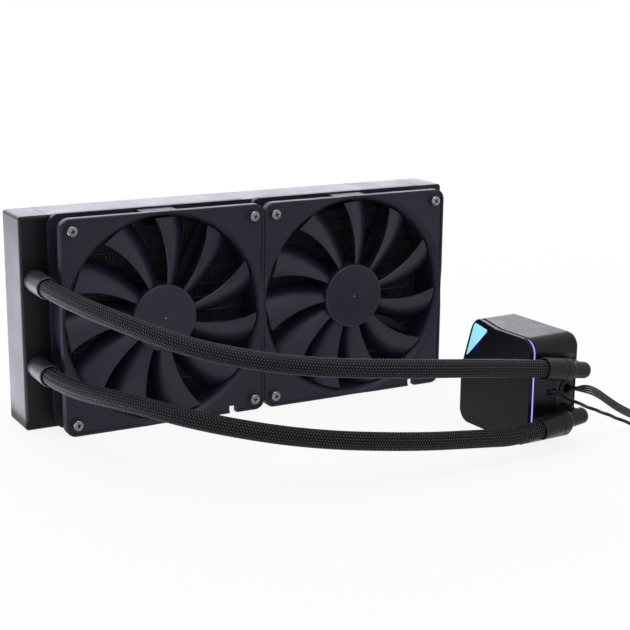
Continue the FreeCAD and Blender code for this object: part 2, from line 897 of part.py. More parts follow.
light_ring = pump_prism(face_plate_thickness, pump_depth, light_ring_inset)
light_ring = light_ring.cut(pump_prism(face_back, pump_depth + 1.0, -3.0))
ring_inner = rounded_square(
    pump_width - 2.0 * (light_ring_inset + light_ring_width),
    pump_width - 2.0 * (light_ring_inset + light_ring_width),
    pump_corner_radius - light_ring_inset - light_ring_width + 2.0,
    pump_middle,
    pump_depth,
)
save("light_ring", stand_pump(light_ring.cut(ring_inner)))

board_width = pump_width - 2.0 * light_board_edge
light_board = block(
    face_back - light_board_thickness,
    face_back,
    -board_width / 2.0,
    board_width / 2.0,
    pump_half - board_width / 2.0,
    pump_half + board_width / 2.0,
)
light_board = behind_facet(light_board, face_plate_thickness + fit_clearance)
save("light_board", stand_pump(light_board))

cap = pump_prism(face_back, pump_depth, 0.0)
cavity = pump_prism(cavity_front, pump_depth + 1.0, cap_wall)
cap = cap.cut(cavity)
cutout_front = pump_depth - cutout_depth
cutout = block(
    cutout_front,
    pump_depth + 1.0,
    -pump_half - 1.0,
    -cavity_half + 1.0,
    cutout_low,
    cutout_high,
)
cap = cap.cut(round_front(cutout, cutout_round))
slot_low = cable_slot_level - cable_slot_height / 2.0
cable_slot_start = cutout_front - cable_slot_length
cable_slot = block(
    cable_slot_start,
    cutout_front + 1.0,
    -pump_half - 1.0,
    -cavity_half + 1.0,
    slot_low,
    slot_low + cable_slot_height,
)
save("pump_cap", stand_pump(cap.cut(cable_slot)))

# the pump's inner body: stator pocket in front, sealed can, chamber and port bores
body = rounded_square(
    2.0 * body_half,
    2.0 * body_half,
    pump_corner_radius - cap_wall,
    Vec(body_front, 0.0, pump_half),
    pump_depth - body_front,
)
body = behind_facet(body, cavity_front + fit_clearance)
body = body.cut(rod(can_radius, pump_middle + to_rear * can_front, to_rear, pump_depth))
body = body.cut(rod(chamber_radius, pump_middle + to_rear * chamber_front, to_rear, pump_depth))
jet_front = pump_depth - jet_pocket_depth
body = body.cut(rod(jet_pocket_radius, pump_middle + to_rear * jet_front, to_rear, jet_pocket_depth))
stator_pocket = ring(
    stator_pocket_radius,
    can_radius + can_wall,
    pump_middle + to_rear * body_front,
    to_rear,
    stator_pocket_depth,
)
body = body.cut(stator_pocket)
shaft_seat = can_front - 1.5
body = body.cut(
    rod(pump_shaft_radius + 0.02, pump_middle + to_rear * shaft_seat, to_rear, pump_depth)
)
gasket_start = pump_middle + to_rear * (pump_depth - gasket_height)
gasket_outer = gasket_radius + gasket_width / 2.0
gasket_inner = gasket_radius - gasket_width / 2.0
body = body.cut(ring(gasket_outer, gasket_inner, gasket_start, to_rear, gasket_height))
for point in base_screw_points():
    body = body.cut(
        rod(
            base_screw_radius + slip_clearance,
            point + to_rear * (base_screw_tip - base_hole_tip_room),
            to_rear,
            base_screw_length,
        )
    )
inward = Vec(0, 1, 0)
flange_depth = elbow_flange_thickness + 2.0 * swivel_play
for level in port_heights.values():
    mouth = Vec(pump_port_depth, -body_half, level)
    body = body.cut(rod(pump_port_bore, mouth, inward, pump_port_reach))
    body = body.cut(rod(elbow_bore_radius, mouth, inward, body_half - chamber_radius * 0.5))
    body = body.cut(rod(elbow_flange_radius + slip_clearance * 2.0, mouth, inward, flange_depth))
cable_way = Vec(grommet_x, -body_half, pump_half)
body = body.cut(rod(grommet_neck_radius + slip_clearance, cable_way, inward, cable_way_depth))
save("pump_body", stand_pump(body))

stator_low = body_front + stator_pocket_depth
inner_stator = can_radius + can_wall + slip_clearance
stator = ring(
    stator_pocket_radius - slip_clearance,
    stator_pocket_radius - 3.0,
    pump_middle + to_rear * (body_front + 1.0),
    to_rear,
    stator_pocket_depth - 1.0,
)
for index in range(6):
    half = motor_arm_width / 2.0
    arm = block(
        body_front + 2.5,
        stator_low - 1.5,
        -half,
        half,
        pump_half + inner_stator,
        pump_half + stator_pocket_radius - 2.0,
    )
    arm.rotate(pump_middle, to_rear, 60.0 * index)
    stator = stator.fuse(arm)
bored = rod(inner_stator, pump_middle, to_rear, pump_depth)
save("pump_stator", stand_pump(stator.cut(bored)))

control_board = rod(
    control_board_radius,
    pump_middle + to_rear * (body_front - control_board_thickness),
    to_rear,
    control_board_thickness,
)
save("control_board", stand_pump(control_board))

# impeller on its fixed ceramic shaft
disc_front = chamber_front + 1.2
magnet_front = can_front + impeller_end_gap
magnet_length_inside = disc_front - magnet_front
impeller = rod(impeller_magnet_radius, pump_middle + to_rear * magnet_front, to_rear, magnet_length_inside)
impeller = impeller.fuse(rod(impeller_radius, pump_middle + to_rear * disc_front, to_rear, impeller_disc))
for index in range(impeller_vane_count):
    vane = block(
        disc_front + impeller_disc,
        disc_front + impeller_disc + impeller_vane_height,
        -impeller_vane_width / 2.0,
        impeller_vane_width / 2.0,
        pump_half + 4.0,
        pump_half + impeller_radius - 0.3,
    )
    vane.rotate(pump_middle + Vec(0, 0, 6.0), to_rear, 25.0)
    vane = vane.common(rod(impeller_radius, pump_middle, to_rear, pump_depth))
    vane.rotate(pump_middle, to_rear, 360.0 / impeller_vane_count * index)
    impeller = impeller.fuse(vane)
impeller = impeller.cut(rod(pump_shaft_radius + running_clearance, pump_middle, to_rear, pump_depth))
save("impeller", stand_pump(impeller))
shaft_length = jet_front - shaft_seat
pump_shaft = rod(pump_shaft_radius, pump_middle + to_rear * shaft_seat, to_rear, shaft_length)
save("impeller_shaft", stand_pump(pump_shaft))

jet_plate = rod(
    jet_pocket_radius - fit_clearance,
    pump_middle + to_rear * jet_front,
    to_rear,
    jet_plate_thickness,
)
jet_plate = jet_plate.cut(
    block(
        jet_front,
        jet_front + jet_plate_thickness,
        -jet_slot_length / 2.0,
        jet_slot_length / 2.0,
        pump_half + jet_slot_offset,
        pump_half + jet_slot_offset + jet_slot_width,
    )
)
save("jet_plate", stand_pump(jet_plate))

gasket = ring(
    gasket_outer - slip_clearance,
    gasket_inner + slip_clearance,
    gasket_start,
    to_rear,
    gasket_height,
)
save("base_gasket", stand_pump(gasket))

cold_plate = rounded_square(
    cold_plate_width,
    cold_plate_width,
    cold_plate_corner,
    Vec(pump_depth, 0.0, pump_half),
    cold_plate_thickness,
)
microfin_low = jet_front + jet_plate_thickness
fin_pitch = microfin_width / microfin_count
for index in range(microfin_count):
    start_y = -microfin_width / 2.0 + index * fin_pitch
    cold_plate = cold_plate.fuse(
        block(
            microfin_low,
            pump_depth,
            start_y,
            start_y + fin_pitch - microfin_gap,
            pump_half - microfin_width / 2.0,
            pump_half + microfin_width / 2.0,
        )
    )
for point in base_screw_points():
    cold_plate = cold_plate.cut(rod(base_screw_radius + slip_clearance, point, to_rear, rear_face + 1.0))
    head = point + to_rear * base_head_low
    cold_plate = cold_plate.cut(rod(base_screw_head + slip_clearance, head, to_rear, 2.0))
save("cold_plate", stand_pump(cold_plate))

base_screws = []
for point in base_screw_points():
    shank = rod(base_screw_radius, point + to_rear * base_screw_tip, to_rear, base_screw_length)
    base_screws.append(
        shank.fuse(rod(base_screw_head, point + to_rear * base_head_low, to_rear, base_screw_head_height))
    )
save("cold_plate_screws", stand_pump(group(base_screws)))

# black ring round the cold plate, against the shell's rear edge
ring_width = pump_width - 2.0 * base_ring_inset
base_start = Vec(pump_depth, 0.0, pump_half)
ring_corner = pump_corner_radius - base_ring_inset
base_ring = rounded_square(ring_width, ring_width, ring_corner, base_start, base_ring_thickness)
plate_room = cold_plate_width + 2.0 * fit_clearance
base_ring = base_ring.cut(
    rounded_square(plate_room, plate_room, cold_plate_corner, base_start, base_ring_thickness)
)
save("base_ring", stand_pump(base_ring))

# plate that slides over both elbows' grooves and carries the grommet
plate_front = cutout_front + fit_clearance
port_plate = block(
    plate_front,
    pump_depth,
    port_plate_outer,
    port_plate_inner,
    cutout_low + fit_clearance,
    cutout_high - fit_clearance,
)
port_plate = round_front(port_plate, cutout_round - fit_clearance)
groove_slot = elbow_groove_radius + slip_clearance * 2.0
for level in port_heights.values():
    slot_end = Vec(pump_port_depth, port_plate_outer - 1.0, level)
    port_plate = port_plate.cut(rod(groove_slot, slot_end, inward, port_plate_thickness + 2.0))
    port_plate = port_plate.cut(
        block(
            pump_port_depth,
            pump_depth + 1.0,
            port_plate_outer - 1.0,
            port_plate_inner + 1.0,
            level - groove_slot,
            level + groove_slot,
        )
    )
grommet_mouth = Vec(grommet_x, port_plate_outer, pump_half)
port_plate = port_plate.cut(
    rod(grommet_neck_radius + slip_clearance, grommet_mouth, inward, port_plate_thickness)
)
save("port_plate", stand_pump(port_plate))

grommet = rod(grommet_radius, grommet_mouth - inward * grommet_rim, inward, grommet_rim)
grommet = grommet.fuse(rod(grommet_neck_radius, grommet_mouth, inward, port_plate_thickness + 1.0))
grommet = grommet.cut(
    rod(grommet_bore_radius, grommet_mouth - inward * grommet_rim, inward, 2.0 * port_plate_thickness + 2.0)
)
save("cable_grommet", stand_pump(grommet))

# swivel elbows: spigot in the body's bore, groove in the plate, quarter bend, barb in the ferrule


def elbow_pieces(level, tilt):
    """Elbow, ferrule and seal of one port, tilted about the port's axis."""
    axis_y = -pump_half - elbow_standoff
    out = Vec(0, -1, 0)
    forward = Vec(-1, 0, 0)
    mouth = Vec(pump_port_depth, -body_half, level)
    corner = Vec(pump_port_depth, axis_y, level)
    spigot_radius = pump_port_bore - elbow_spigot_clearance
    depth = pump_port_reach - 1.0
    seal_at = -depth * 0.6
    plate_top = port_plate_thickness + 2.0 * swivel_play
    reach = mouth.y - axis_y
    profile = [
        (-depth, 0.0),
        (-depth, spigot_radius),
        (seal_at, spigot_radius),
        (seal_at, spigot_radius - seal_section),
        (seal_at + seal_section, spigot_radius - seal_section),
        (seal_at + seal_section, spigot_radius),
        (-elbow_flange_thickness, spigot_radius),
        (-elbow_flange_thickness, elbow_flange_radius),
        (0.0, elbow_flange_radius),
        (0.0, elbow_groove_radius),
        (plate_top, elbow_groove_radius),
        (plate_top, elbow_neck_foot),
        (reach, elbow_neck_top),
        (reach, 0.0),
    ]
    post = turned(profile, mouth, out, to_rear)
    tail = corner + to_rear * elbow_tail_reach
    barrel = rod(elbow_pipe_radius, tail, forward, elbow_tail_reach + elbow_shoulder)
    tail_rim = [edge for edge in barrel.Edges if edge.Closed and abs(edge.CenterOfMass.x - tail.x) < 0.01]
    barrel = barrel.makeFillet(elbow_tail_round, tail_rim)
    foot = corner + forward * elbow_shoulder
    barb_profile = [
        (0.0, 0.0),
        (0.0, barb_pipe_radius),
        (elbow_barb_length * 0.45, barb_pipe_radius),
        (elbow_barb_length * 0.45, barb_ridge_radius),
        (elbow_barb_length * 0.65, barb_pipe_radius),
        (elbow_barb_length * 0.8, barb_pipe_radius),
        (elbow_barb_length * 0.8, barb_ridge_radius),
        (elbow_barb_length, barb_pipe_radius),
        (elbow_barb_length, 0.0),
    ]
    barb = turned(barb_profile, foot, forward, Vec(0, 1, 0))
    way = rod(elbow_bore_radius, mouth - out * depth, out, depth + reach)
    way = way.fuse(
        [
            rod(elbow_bore_radius, corner, forward, elbow_shoulder + elbow_barb_length),
            Part.makeSphere(elbow_bore_radius, corner),
        ]
    )
    elbow = post.fuse([barrel, barb]).cut(way)
    line_low = ferrule_line_from_end
    ferrule_profile = [
        (0.0, barb_ridge_radius + slip_clearance),
        (0.0, ferrule_foot_radius),
        (ferrule_bevel_length, ferrule_radius),
        (line_low, ferrule_radius),
        (line_low, ferrule_radius - ferrule_line_depth),
        (line_low + ferrule_line_width, ferrule_radius - ferrule_line_depth),
        (line_low + ferrule_line_width, ferrule_radius),
        (ferrule_length - 0.4, ferrule_radius),
        (ferrule_length, ferrule_radius - 0.3),
        (ferrule_length, hose_radius + hose_clearance),
        (elbow_barb_length, hose_radius + hose_clearance),
        (elbow_barb_length, barb_ridge_radius + slip_clearance),
    ]
    ferrule = turned(ferrule_profile, foot, forward, Vec(0, 1, 0))
    seal = ring(
        spigot_radius + elbow_spigot_clearance / 2.0,
        spigot_radius - seal_section + 0.01,
        mouth + out * (seal_at + 0.02),
        out,
        seal_section - 0.04,
    )
    turn_centre = Vec(pump_port_depth, 0.0, level)
    for piece in (elbow, ferrule, seal):
        piece.rotate(turn_centre, Vec(0, 1, 0), tilt)
    return elbow, ferrule, seal


def hose_end(level, tilt, beyond):
    """Point on the ferrule's axis, a length beyond the barb's tip."""
    reach = elbow_shoulder + elbow_barb_length + beyond
    angle = math.radians(tilt)
    return pump_point(
        pump_port_depth - reach * math.cos(angle),
        -pump_half - elbow_standoff,
        level + reach * math.sin(angle),
    )


for side, level in port_heights.items():
    elbow, ferrule, seal = elbow_pieces(level, elbow_tilts[side])
    save(side + "_elbow", stand_pump(elbow))
    save(side + "_elbow_ferrule", stand_pump(ferrule))
    save(side + "_elbow_seal", stand_pump(seal))


# hoses and leads: straight runs joined by tangent arcs


def rounded_route(points):
    """Path along the points with an arc at each, and the arcs' radii."""
    edges = []
    radii = []
    last = points[0]
    for before, here, after in zip(points, points[1:], points[2:]):
        arriving = (here - before).normalize()
        leaving = (after - here).normalize()
        turn = arriving.getAngle(leaving)
        shorter = min((here - before).Length, (after - here).Length)
        radius = 0.45 * shorter / math.tan(turn / 2.0)
        reach = radius * math.tan(turn / 2.0)
        arc_start = here - arriving * reach
        arc_end = here + leaving * reach
        inward_way = (leaving - arriving).normalize()
        middle = here + inward_way * (radius / math.cos(turn / 2.0) - radius)
        edges.append(Part.LineSegment(last, arc_start).toShape())
        edges.append(Part.Arc(arc_start, middle, arc_end).toShape())
        radii.append(radius)
        last = arc_end
    edges.append(Part.LineSegment(last, points[-1]).toShape())
    return Part.Wire(edges), radii


def cord_tube(name, points, radius):
    """Round solid along the route."""
    path, radii = rounded_route(points)
    section = Part.Wire(Part.makeCircle(radius, points[0], points[1] - points[0]))
    tube = path.makePipeShell([section], True, True)
    expected = math.pi * radius * radius * path.Length
    print(name, "length", round(path.Length, 1), "radii", [round(value, 1) for value in radii])
    print(name, "volume", round(tube.Volume, 1), "expected", round(expected, 1))
    save(name, tube)


upper_hose_points = [
    Vec(port_x, -half_depth - barb_length, port_levels["upper"]),
    Vec(port_x, -75.0, port_levels["upper"]),
    Vec(-127.0, -127.0, 91.5),
    Vec(-101.0, -162.0, 82.5),
    Vec(-54.0, -192.5, 74.5),
    Vec(12.0, -206.5, 68.5),
    hose_end(port_heights["upper"], upper_elbow_tilt, upper_hose_run),
    hose_end(port_heights["upper"], upper_elbow_tilt, 0.0),
]
lower_hose_points = [
    Vec(port_x, -half_depth - barb_length, port_levels["lower"]),
    Vec(port_x, -70.0, port_levels["lower"]),
    Vec(-126.0, -125.0, 45.0),
    Vec(-95.0, -163.0, 39.5),
    Vec(-46.0, -192.5, 31.5),
    Vec(16.0, -205.0, 22.5),
    hose_end(port_heights["lower"], lower_elbow_tilt, lower_hose_run),
    hose_end(port_heights["lower"], lower_elbow_tilt, 0.0),
]
cord_tube("upper_hose", upper_hose_points, hose_radius)
cord_tube("lower_hose", lower_hose_points, hose_radius)

pump_lead_points = [
    pump_point(grommet_x, -body_half + cable_way_depth - lead_end_gap, pump_half),
    Vec(141.4, -196.0, 36.4),
    Vec(148.5, -200.0, 36.2),
    Vec(158.0, -198.5, 31.5),
    Vec(168.0, -195.5, 25.0),
    Vec(179.0, -193.0, 18.0),
    Vec(190.0, -191.0, 12.0),
    Vec(202.0, -186.8, 6.4),
    Vec(212.4, -180.0, 3.3),
    Vec(222.4, -173.5, 3.0),
]
cord_tube("pump_lead", pump_lead_points, pump_lead_radius)

light_lead_start = cable_slot_start + light_lead_from_slot
light_lead_side = -body_half - light_lead_radius - fit_clearance
light_lead_points = [
    pump_point(light_lead_start, light_lead_side, cable_slot_level),
    pump_point(light_lead_start + 3.4, light_lead_side, cable_slot_level),
    Vec(135.4, -190.4, 32.6),
    Vec(142.0, -191.2, 27.6),
    Vec(150.5, -192.4, 23.2),
    Vec(161.0, -192.6, 17.6),
    Vec(172.0, -191.4, 12.2),
    Vec(183.0, -190.4, 7.2),
    Vec(194.0, -191.8, 3.0),
    Vec(201.0, -198.5, 1.5),
    Vec(206.0, -208.5, 1.4),
    Vec(211.0, -218.8, 1.4),
    Vec(215.8, -226.9, 1.5),
]
cord_tube("light_lead", light_lead_points, light_lead_radius)
print("hose ends", upper_hose_points[-2:], lower_hose_points[-2:])
print("lead starts", pump_lead_points[0], light_lead_points[0])


def coil(radius, width, height, centre):
    """Outer shape of a round coil that lies on the floor."""
    outline = turned(
        [
            (0.0, radius - width / 2.0),
            (0.0, radius + width / 2.0),
            (height, radius + width / 2.0),
            (height, radius - width / 2.0),
        ],
        centre,
        up,
        Vec(1, 0, 0),
    )
    return outline


def plug(size, back_middle, heading):
    """Lead connector with a latch rib, pointing along heading."""
    length, width, height = size
    housing = block(0.0, length, -width / 2.0, width / 2.0, 0.0, height)
    rib = block(length * 0.35, length, -width * 0.3, width * 0.3, height, height + 0.8)
    body = housing.fuse(rib)
    opening = block(length - 7.0, length + 1.0, -width / 2.0 + 1.0, width / 2.0 - 1.0, 1.0, height - 1.0)
    body = body.cut(opening)
    body.rotate(Vec(0, 0, 0), up, heading)
    body.translate(back_middle)
    return body


pump_coil_centre = Vec(240.0, -200.5, 0.0)
light_coil_centre = Vec(200.0, -236.0, 0.0)
save(
    "pump_lead_coil",
    coil(pump_lead_coil_radius, pump_lead_coil_width, pump_lead_coil_height, pump_coil_centre),
)
save(
    "light_lead_coil",
    coil(light_lead_coil_radius, light_lead_coil_width, light_lead_coil_height, light_coil_centre),
)
save("pump_plug", plug(pump_plug, Vec(248.0, -165.5, 0.0), -7.0))
save("light_plug", plug(light_plug, Vec(220.9, -240.0, 0.0), -90.0))

print("nodes", len(volumes), "port axis", pump_point(pump_port_depth, -pump_half, 0.0))
print("pump rear", pump_point(rear_face, 0.0, pump_half), "row pitch", round(row_pitch, 2))
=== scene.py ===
import bpy
import bmesh
import math
from mathutils import Matrix, Vector


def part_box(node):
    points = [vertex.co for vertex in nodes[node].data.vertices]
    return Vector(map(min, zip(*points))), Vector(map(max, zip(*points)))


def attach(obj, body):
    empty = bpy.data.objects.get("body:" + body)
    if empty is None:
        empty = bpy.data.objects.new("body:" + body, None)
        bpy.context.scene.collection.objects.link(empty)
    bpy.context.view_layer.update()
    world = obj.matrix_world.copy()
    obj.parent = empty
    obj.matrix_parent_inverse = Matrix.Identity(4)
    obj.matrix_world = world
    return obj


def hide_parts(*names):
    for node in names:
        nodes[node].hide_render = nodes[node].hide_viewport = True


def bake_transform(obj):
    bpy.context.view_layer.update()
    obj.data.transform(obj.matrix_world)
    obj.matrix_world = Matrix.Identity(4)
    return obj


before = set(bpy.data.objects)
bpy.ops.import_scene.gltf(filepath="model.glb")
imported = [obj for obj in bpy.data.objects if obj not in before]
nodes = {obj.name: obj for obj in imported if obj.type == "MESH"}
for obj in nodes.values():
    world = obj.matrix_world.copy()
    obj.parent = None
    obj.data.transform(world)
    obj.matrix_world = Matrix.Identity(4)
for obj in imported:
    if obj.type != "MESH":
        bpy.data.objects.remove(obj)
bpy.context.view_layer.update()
print("frame loaded:", len(nodes), "nodes")

mm = 0.001
hair = 0.01 * mm  # too small to show
speck = 1e-9  # keeps a division away from zero


# material helpers

noiseSpan = (0.3, 0.7)  # where the values of a noise texture mostly lie
noiseDetail = 3.0
threadSteps = (0.25, 0.72, 0.98)  # how far up a braid its painted shade, middle tone and painted highlight lie


def linear(hexColour):
    # sRGB hex to linear RGBA
    channels = [int(hexColour[i:i + 2], 16) / 255 for i in (0, 2, 4)]
    return [c / 12.92 if c <= 0.04045 else ((c + 0.055) / 1.055) ** 2.4 for c in channels] + [1.0]


def addNode(tree, kind, settings=None, links=None):
    # settings: attribute or input name -> value, links: input name -> output socket
    node = tree.nodes.new(kind)
    for name, value in (settings or {}).items():
        if isinstance(name, int) or name in node.inputs:
            node.inputs[name].default_value = value
        else:
            setattr(node, name, value)
    for name, socket in (links or {}).items():
        tree.links.new(socket, node.inputs[name])
    return node


class Finish:
    # one material: its shader, and the uneven tone, shine and relief that a real surface has

    def __init__(self, name, colour, roughness, metallic=0.0, **more):
        self.material = bpy.data.materials.new(name)
        self.material.use_nodes = True
        self.tree = self.material.node_tree
        self.shader = self.tree.nodes["Principled BSDF"]
        self.shader.inputs["Base Color"].default_value = linear(colour)
        self.shader.inputs["Roughness"].default_value = roughness
        self.shader.inputs["Metallic"].default_value = metallic
        for key, value in more.items():
            self.shader.inputs[key.replace("_", " ")].default_value = value
        self.surface = addNode(self.tree, "ShaderNodeTexCoord").outputs["Object"]

    def feed(self, socket, name):
        # feeds one of the shader's inputs
        self.tree.links.new(socket, self.shader.inputs[name])
        return self

    def cloud(self, sizeMm, detail=2.0):
        # soft random patches of the given size
        settings = {"Scale": 1 / (sizeMm * mm), "Detail": detail}
        return addNode(self.tree, "ShaderNodeTexNoise", settings, {"Vector": self.surface}).outputs["Fac"]

    def drift(self, cloud, low, high):
        # number that drifts between two values with the patches
        settings = {"From Min": noiseSpan[0], "From Max": noiseSpan[1], "To Min": low, "To Max": high}
        return addNode(self.tree, "ShaderNodeMapRange", settings, {"Value": cloud}).outputs["Result"]

    def colourBy(self, level, positions, colours):
        # base colour from hex values that stand at positions between 0 and 1
        ramp = addNode(self.tree, "ShaderNodeValToRGB", links={"Fac": level})
        elements = ramp.color_ramp.elements
        for position in positions[1:-1]:
            elements.new(position)
        for element, position, colour in zip(elements, positions, colours):
            element.position = position
            element.color = linear(colour)
        return self.feed(ramp.outputs["Color"], "Base Color")

    def tone(self, sizeMm, dark, light):
        # colour that drifts between two hex values
        return self.colourBy(self.cloud(sizeMm, noiseDetail), noiseSpan, (dark, light))

    def threads(self, attribute, low, middle, high):
        # painted light by how far a thread stands up, which the mesh keeps as an attribute: painted shade
        # low down, a painted highlight on top
        height = addNode(self.tree, "ShaderNodeAttribute", {"attribute_name": attribute})
        return self.colourBy(height.outputs["Fac"], threadSteps, (low, middle, high))

    def shine(self, sizeMm, smooth, rough):
        # roughness that drifts between two values
        return self.feed(self.drift(self.cloud(sizeMm, noiseDetail), smooth, rough), "Roughness")

    def relief(self, sizeMm, depthMm):
        # fine bumps of the given size and depth
        bump = addNode(
            self.tree, "ShaderNodeBump", {"Distance": depthMm * mm}, {"Height": self.cloud(sizeMm)}
        )
        return self.feed(bump.outputs["Normal"], "Normal")

    def glow(self, colour, sizeMm, low, high):
        # light from inside, a little uneven where the lamps sit
        self.shader.inputs["Emission Color"].default_value = linear(colour)
        return self.feed(self.drift(self.cloud(sizeMm), low, high), "Emission Strength")

    def fromPoint(self, place):
        # distance from a point of the object
        settings = {"operation": "DISTANCE", 1: place}
        return addNode(self.tree, "ShaderNodeVectorMath", settings, {0: self.surface}).outputs["Value"]

    def fromPlane(self, direction, level):
        # distance from a plane square to the direction
        settings = {"operation": "DOT_PRODUCT", 1: direction}
        along = addNode(self.tree, "ShaderNodeVectorMath", settings, {0: self.surface}).outputs["Value"]
        off = addNode(self.tree, "ShaderNodeMath", {"operation": "SUBTRACT", 1: level}, {0: along})
        away = addNode(self.tree, "ShaderNodeMath", {"operation": "ABSOLUTE"}, {0: off.outputs["Value"]})
        return away.outputs["Value"]

    def spill(self, colour, *sources):
        # light that leaks in from lamps close by: each source has its distance, reach in mm and strength
        total = None
        for away, reachMm, strength in sources:
            settings = {
                "interpolation_type": "SMOOTHSTEP", "From Min": 0.0, "From Max": reachMm * mm,
                "To Min": strength, "To Max": 0.0,
            }
            part = addNode(self.tree, "ShaderNodeMapRange", settings, {"Value": away}).outputs["Result"]
            if total is not None:
                both = addNode(self.tree, "ShaderNodeMath", {"operation": "MAXIMUM"}, {0: part, 1: total})
                part = both.outputs["Value"]
            total = part
        self.shader.inputs["Emission Color"].default_value = linear(colour)
        return self.feed(total, "Emission Strength")

    def paintedSpot(self, centre, radiusMm, colour):
        # small round painted mark about an axis along Y, over the tone that the finish has
        settings = {"Location": (-centre[0], 0, -centre[1]), "Scale": (1, 0, 1)}
        flat = addNode(self.tree, "ShaderNodeMapping", settings, {"Vector": self.surface})
        links = {0: flat.outputs["Vector"]}
        away = addNode(self.tree, "ShaderNodeVectorMath", {"operation": "LENGTH"}, links)
        settings = {"operation": "LESS_THAN", 1: radiusMm * mm}
        inside = addNode(self.tree, "ShaderNodeMath", settings, {0: away.outputs["Value"]})
        plain = self.shader.inputs["Base Color"].links[0].from_socket
        # a Mix node's two colours are its inputs 6 and 7, and the mixed colour is its output 2
        settings = {"data_type": "RGBA", 7: linear(colour)}
        mix = addNode(self.tree, "ShaderNodeMix", settings, {0: inside.outputs["Value"], 6: plain})
        return self.feed(mix.outputs[2], "Base Color")


# places that the finishes need

pumpTurn = math.radians(3.35)  # how far the pump block stands turned
pumpInward = Vector((math.cos(pumpTurn), math.sin(pumpTurn), 0))  # from its face into the block
lightLeadExit = (0.12974, -0.1883, 0.0342)


def fanAxis(side):
    low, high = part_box(f"{side}_fan_shaft")
    return (low.x + high.x) / 2, (low.z + high.z) / 2


def middleOf(node):
    low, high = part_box(node)
    return (Vector(low) + Vector(high)) / 2


def depthOf(node):
    # how deep in the pump block the middle of a node lies
    depths = [vertex.co.dot(pumpInward) for vertex in nodes[node].data.vertices]
    return (min(depths) + max(depths)) / 2
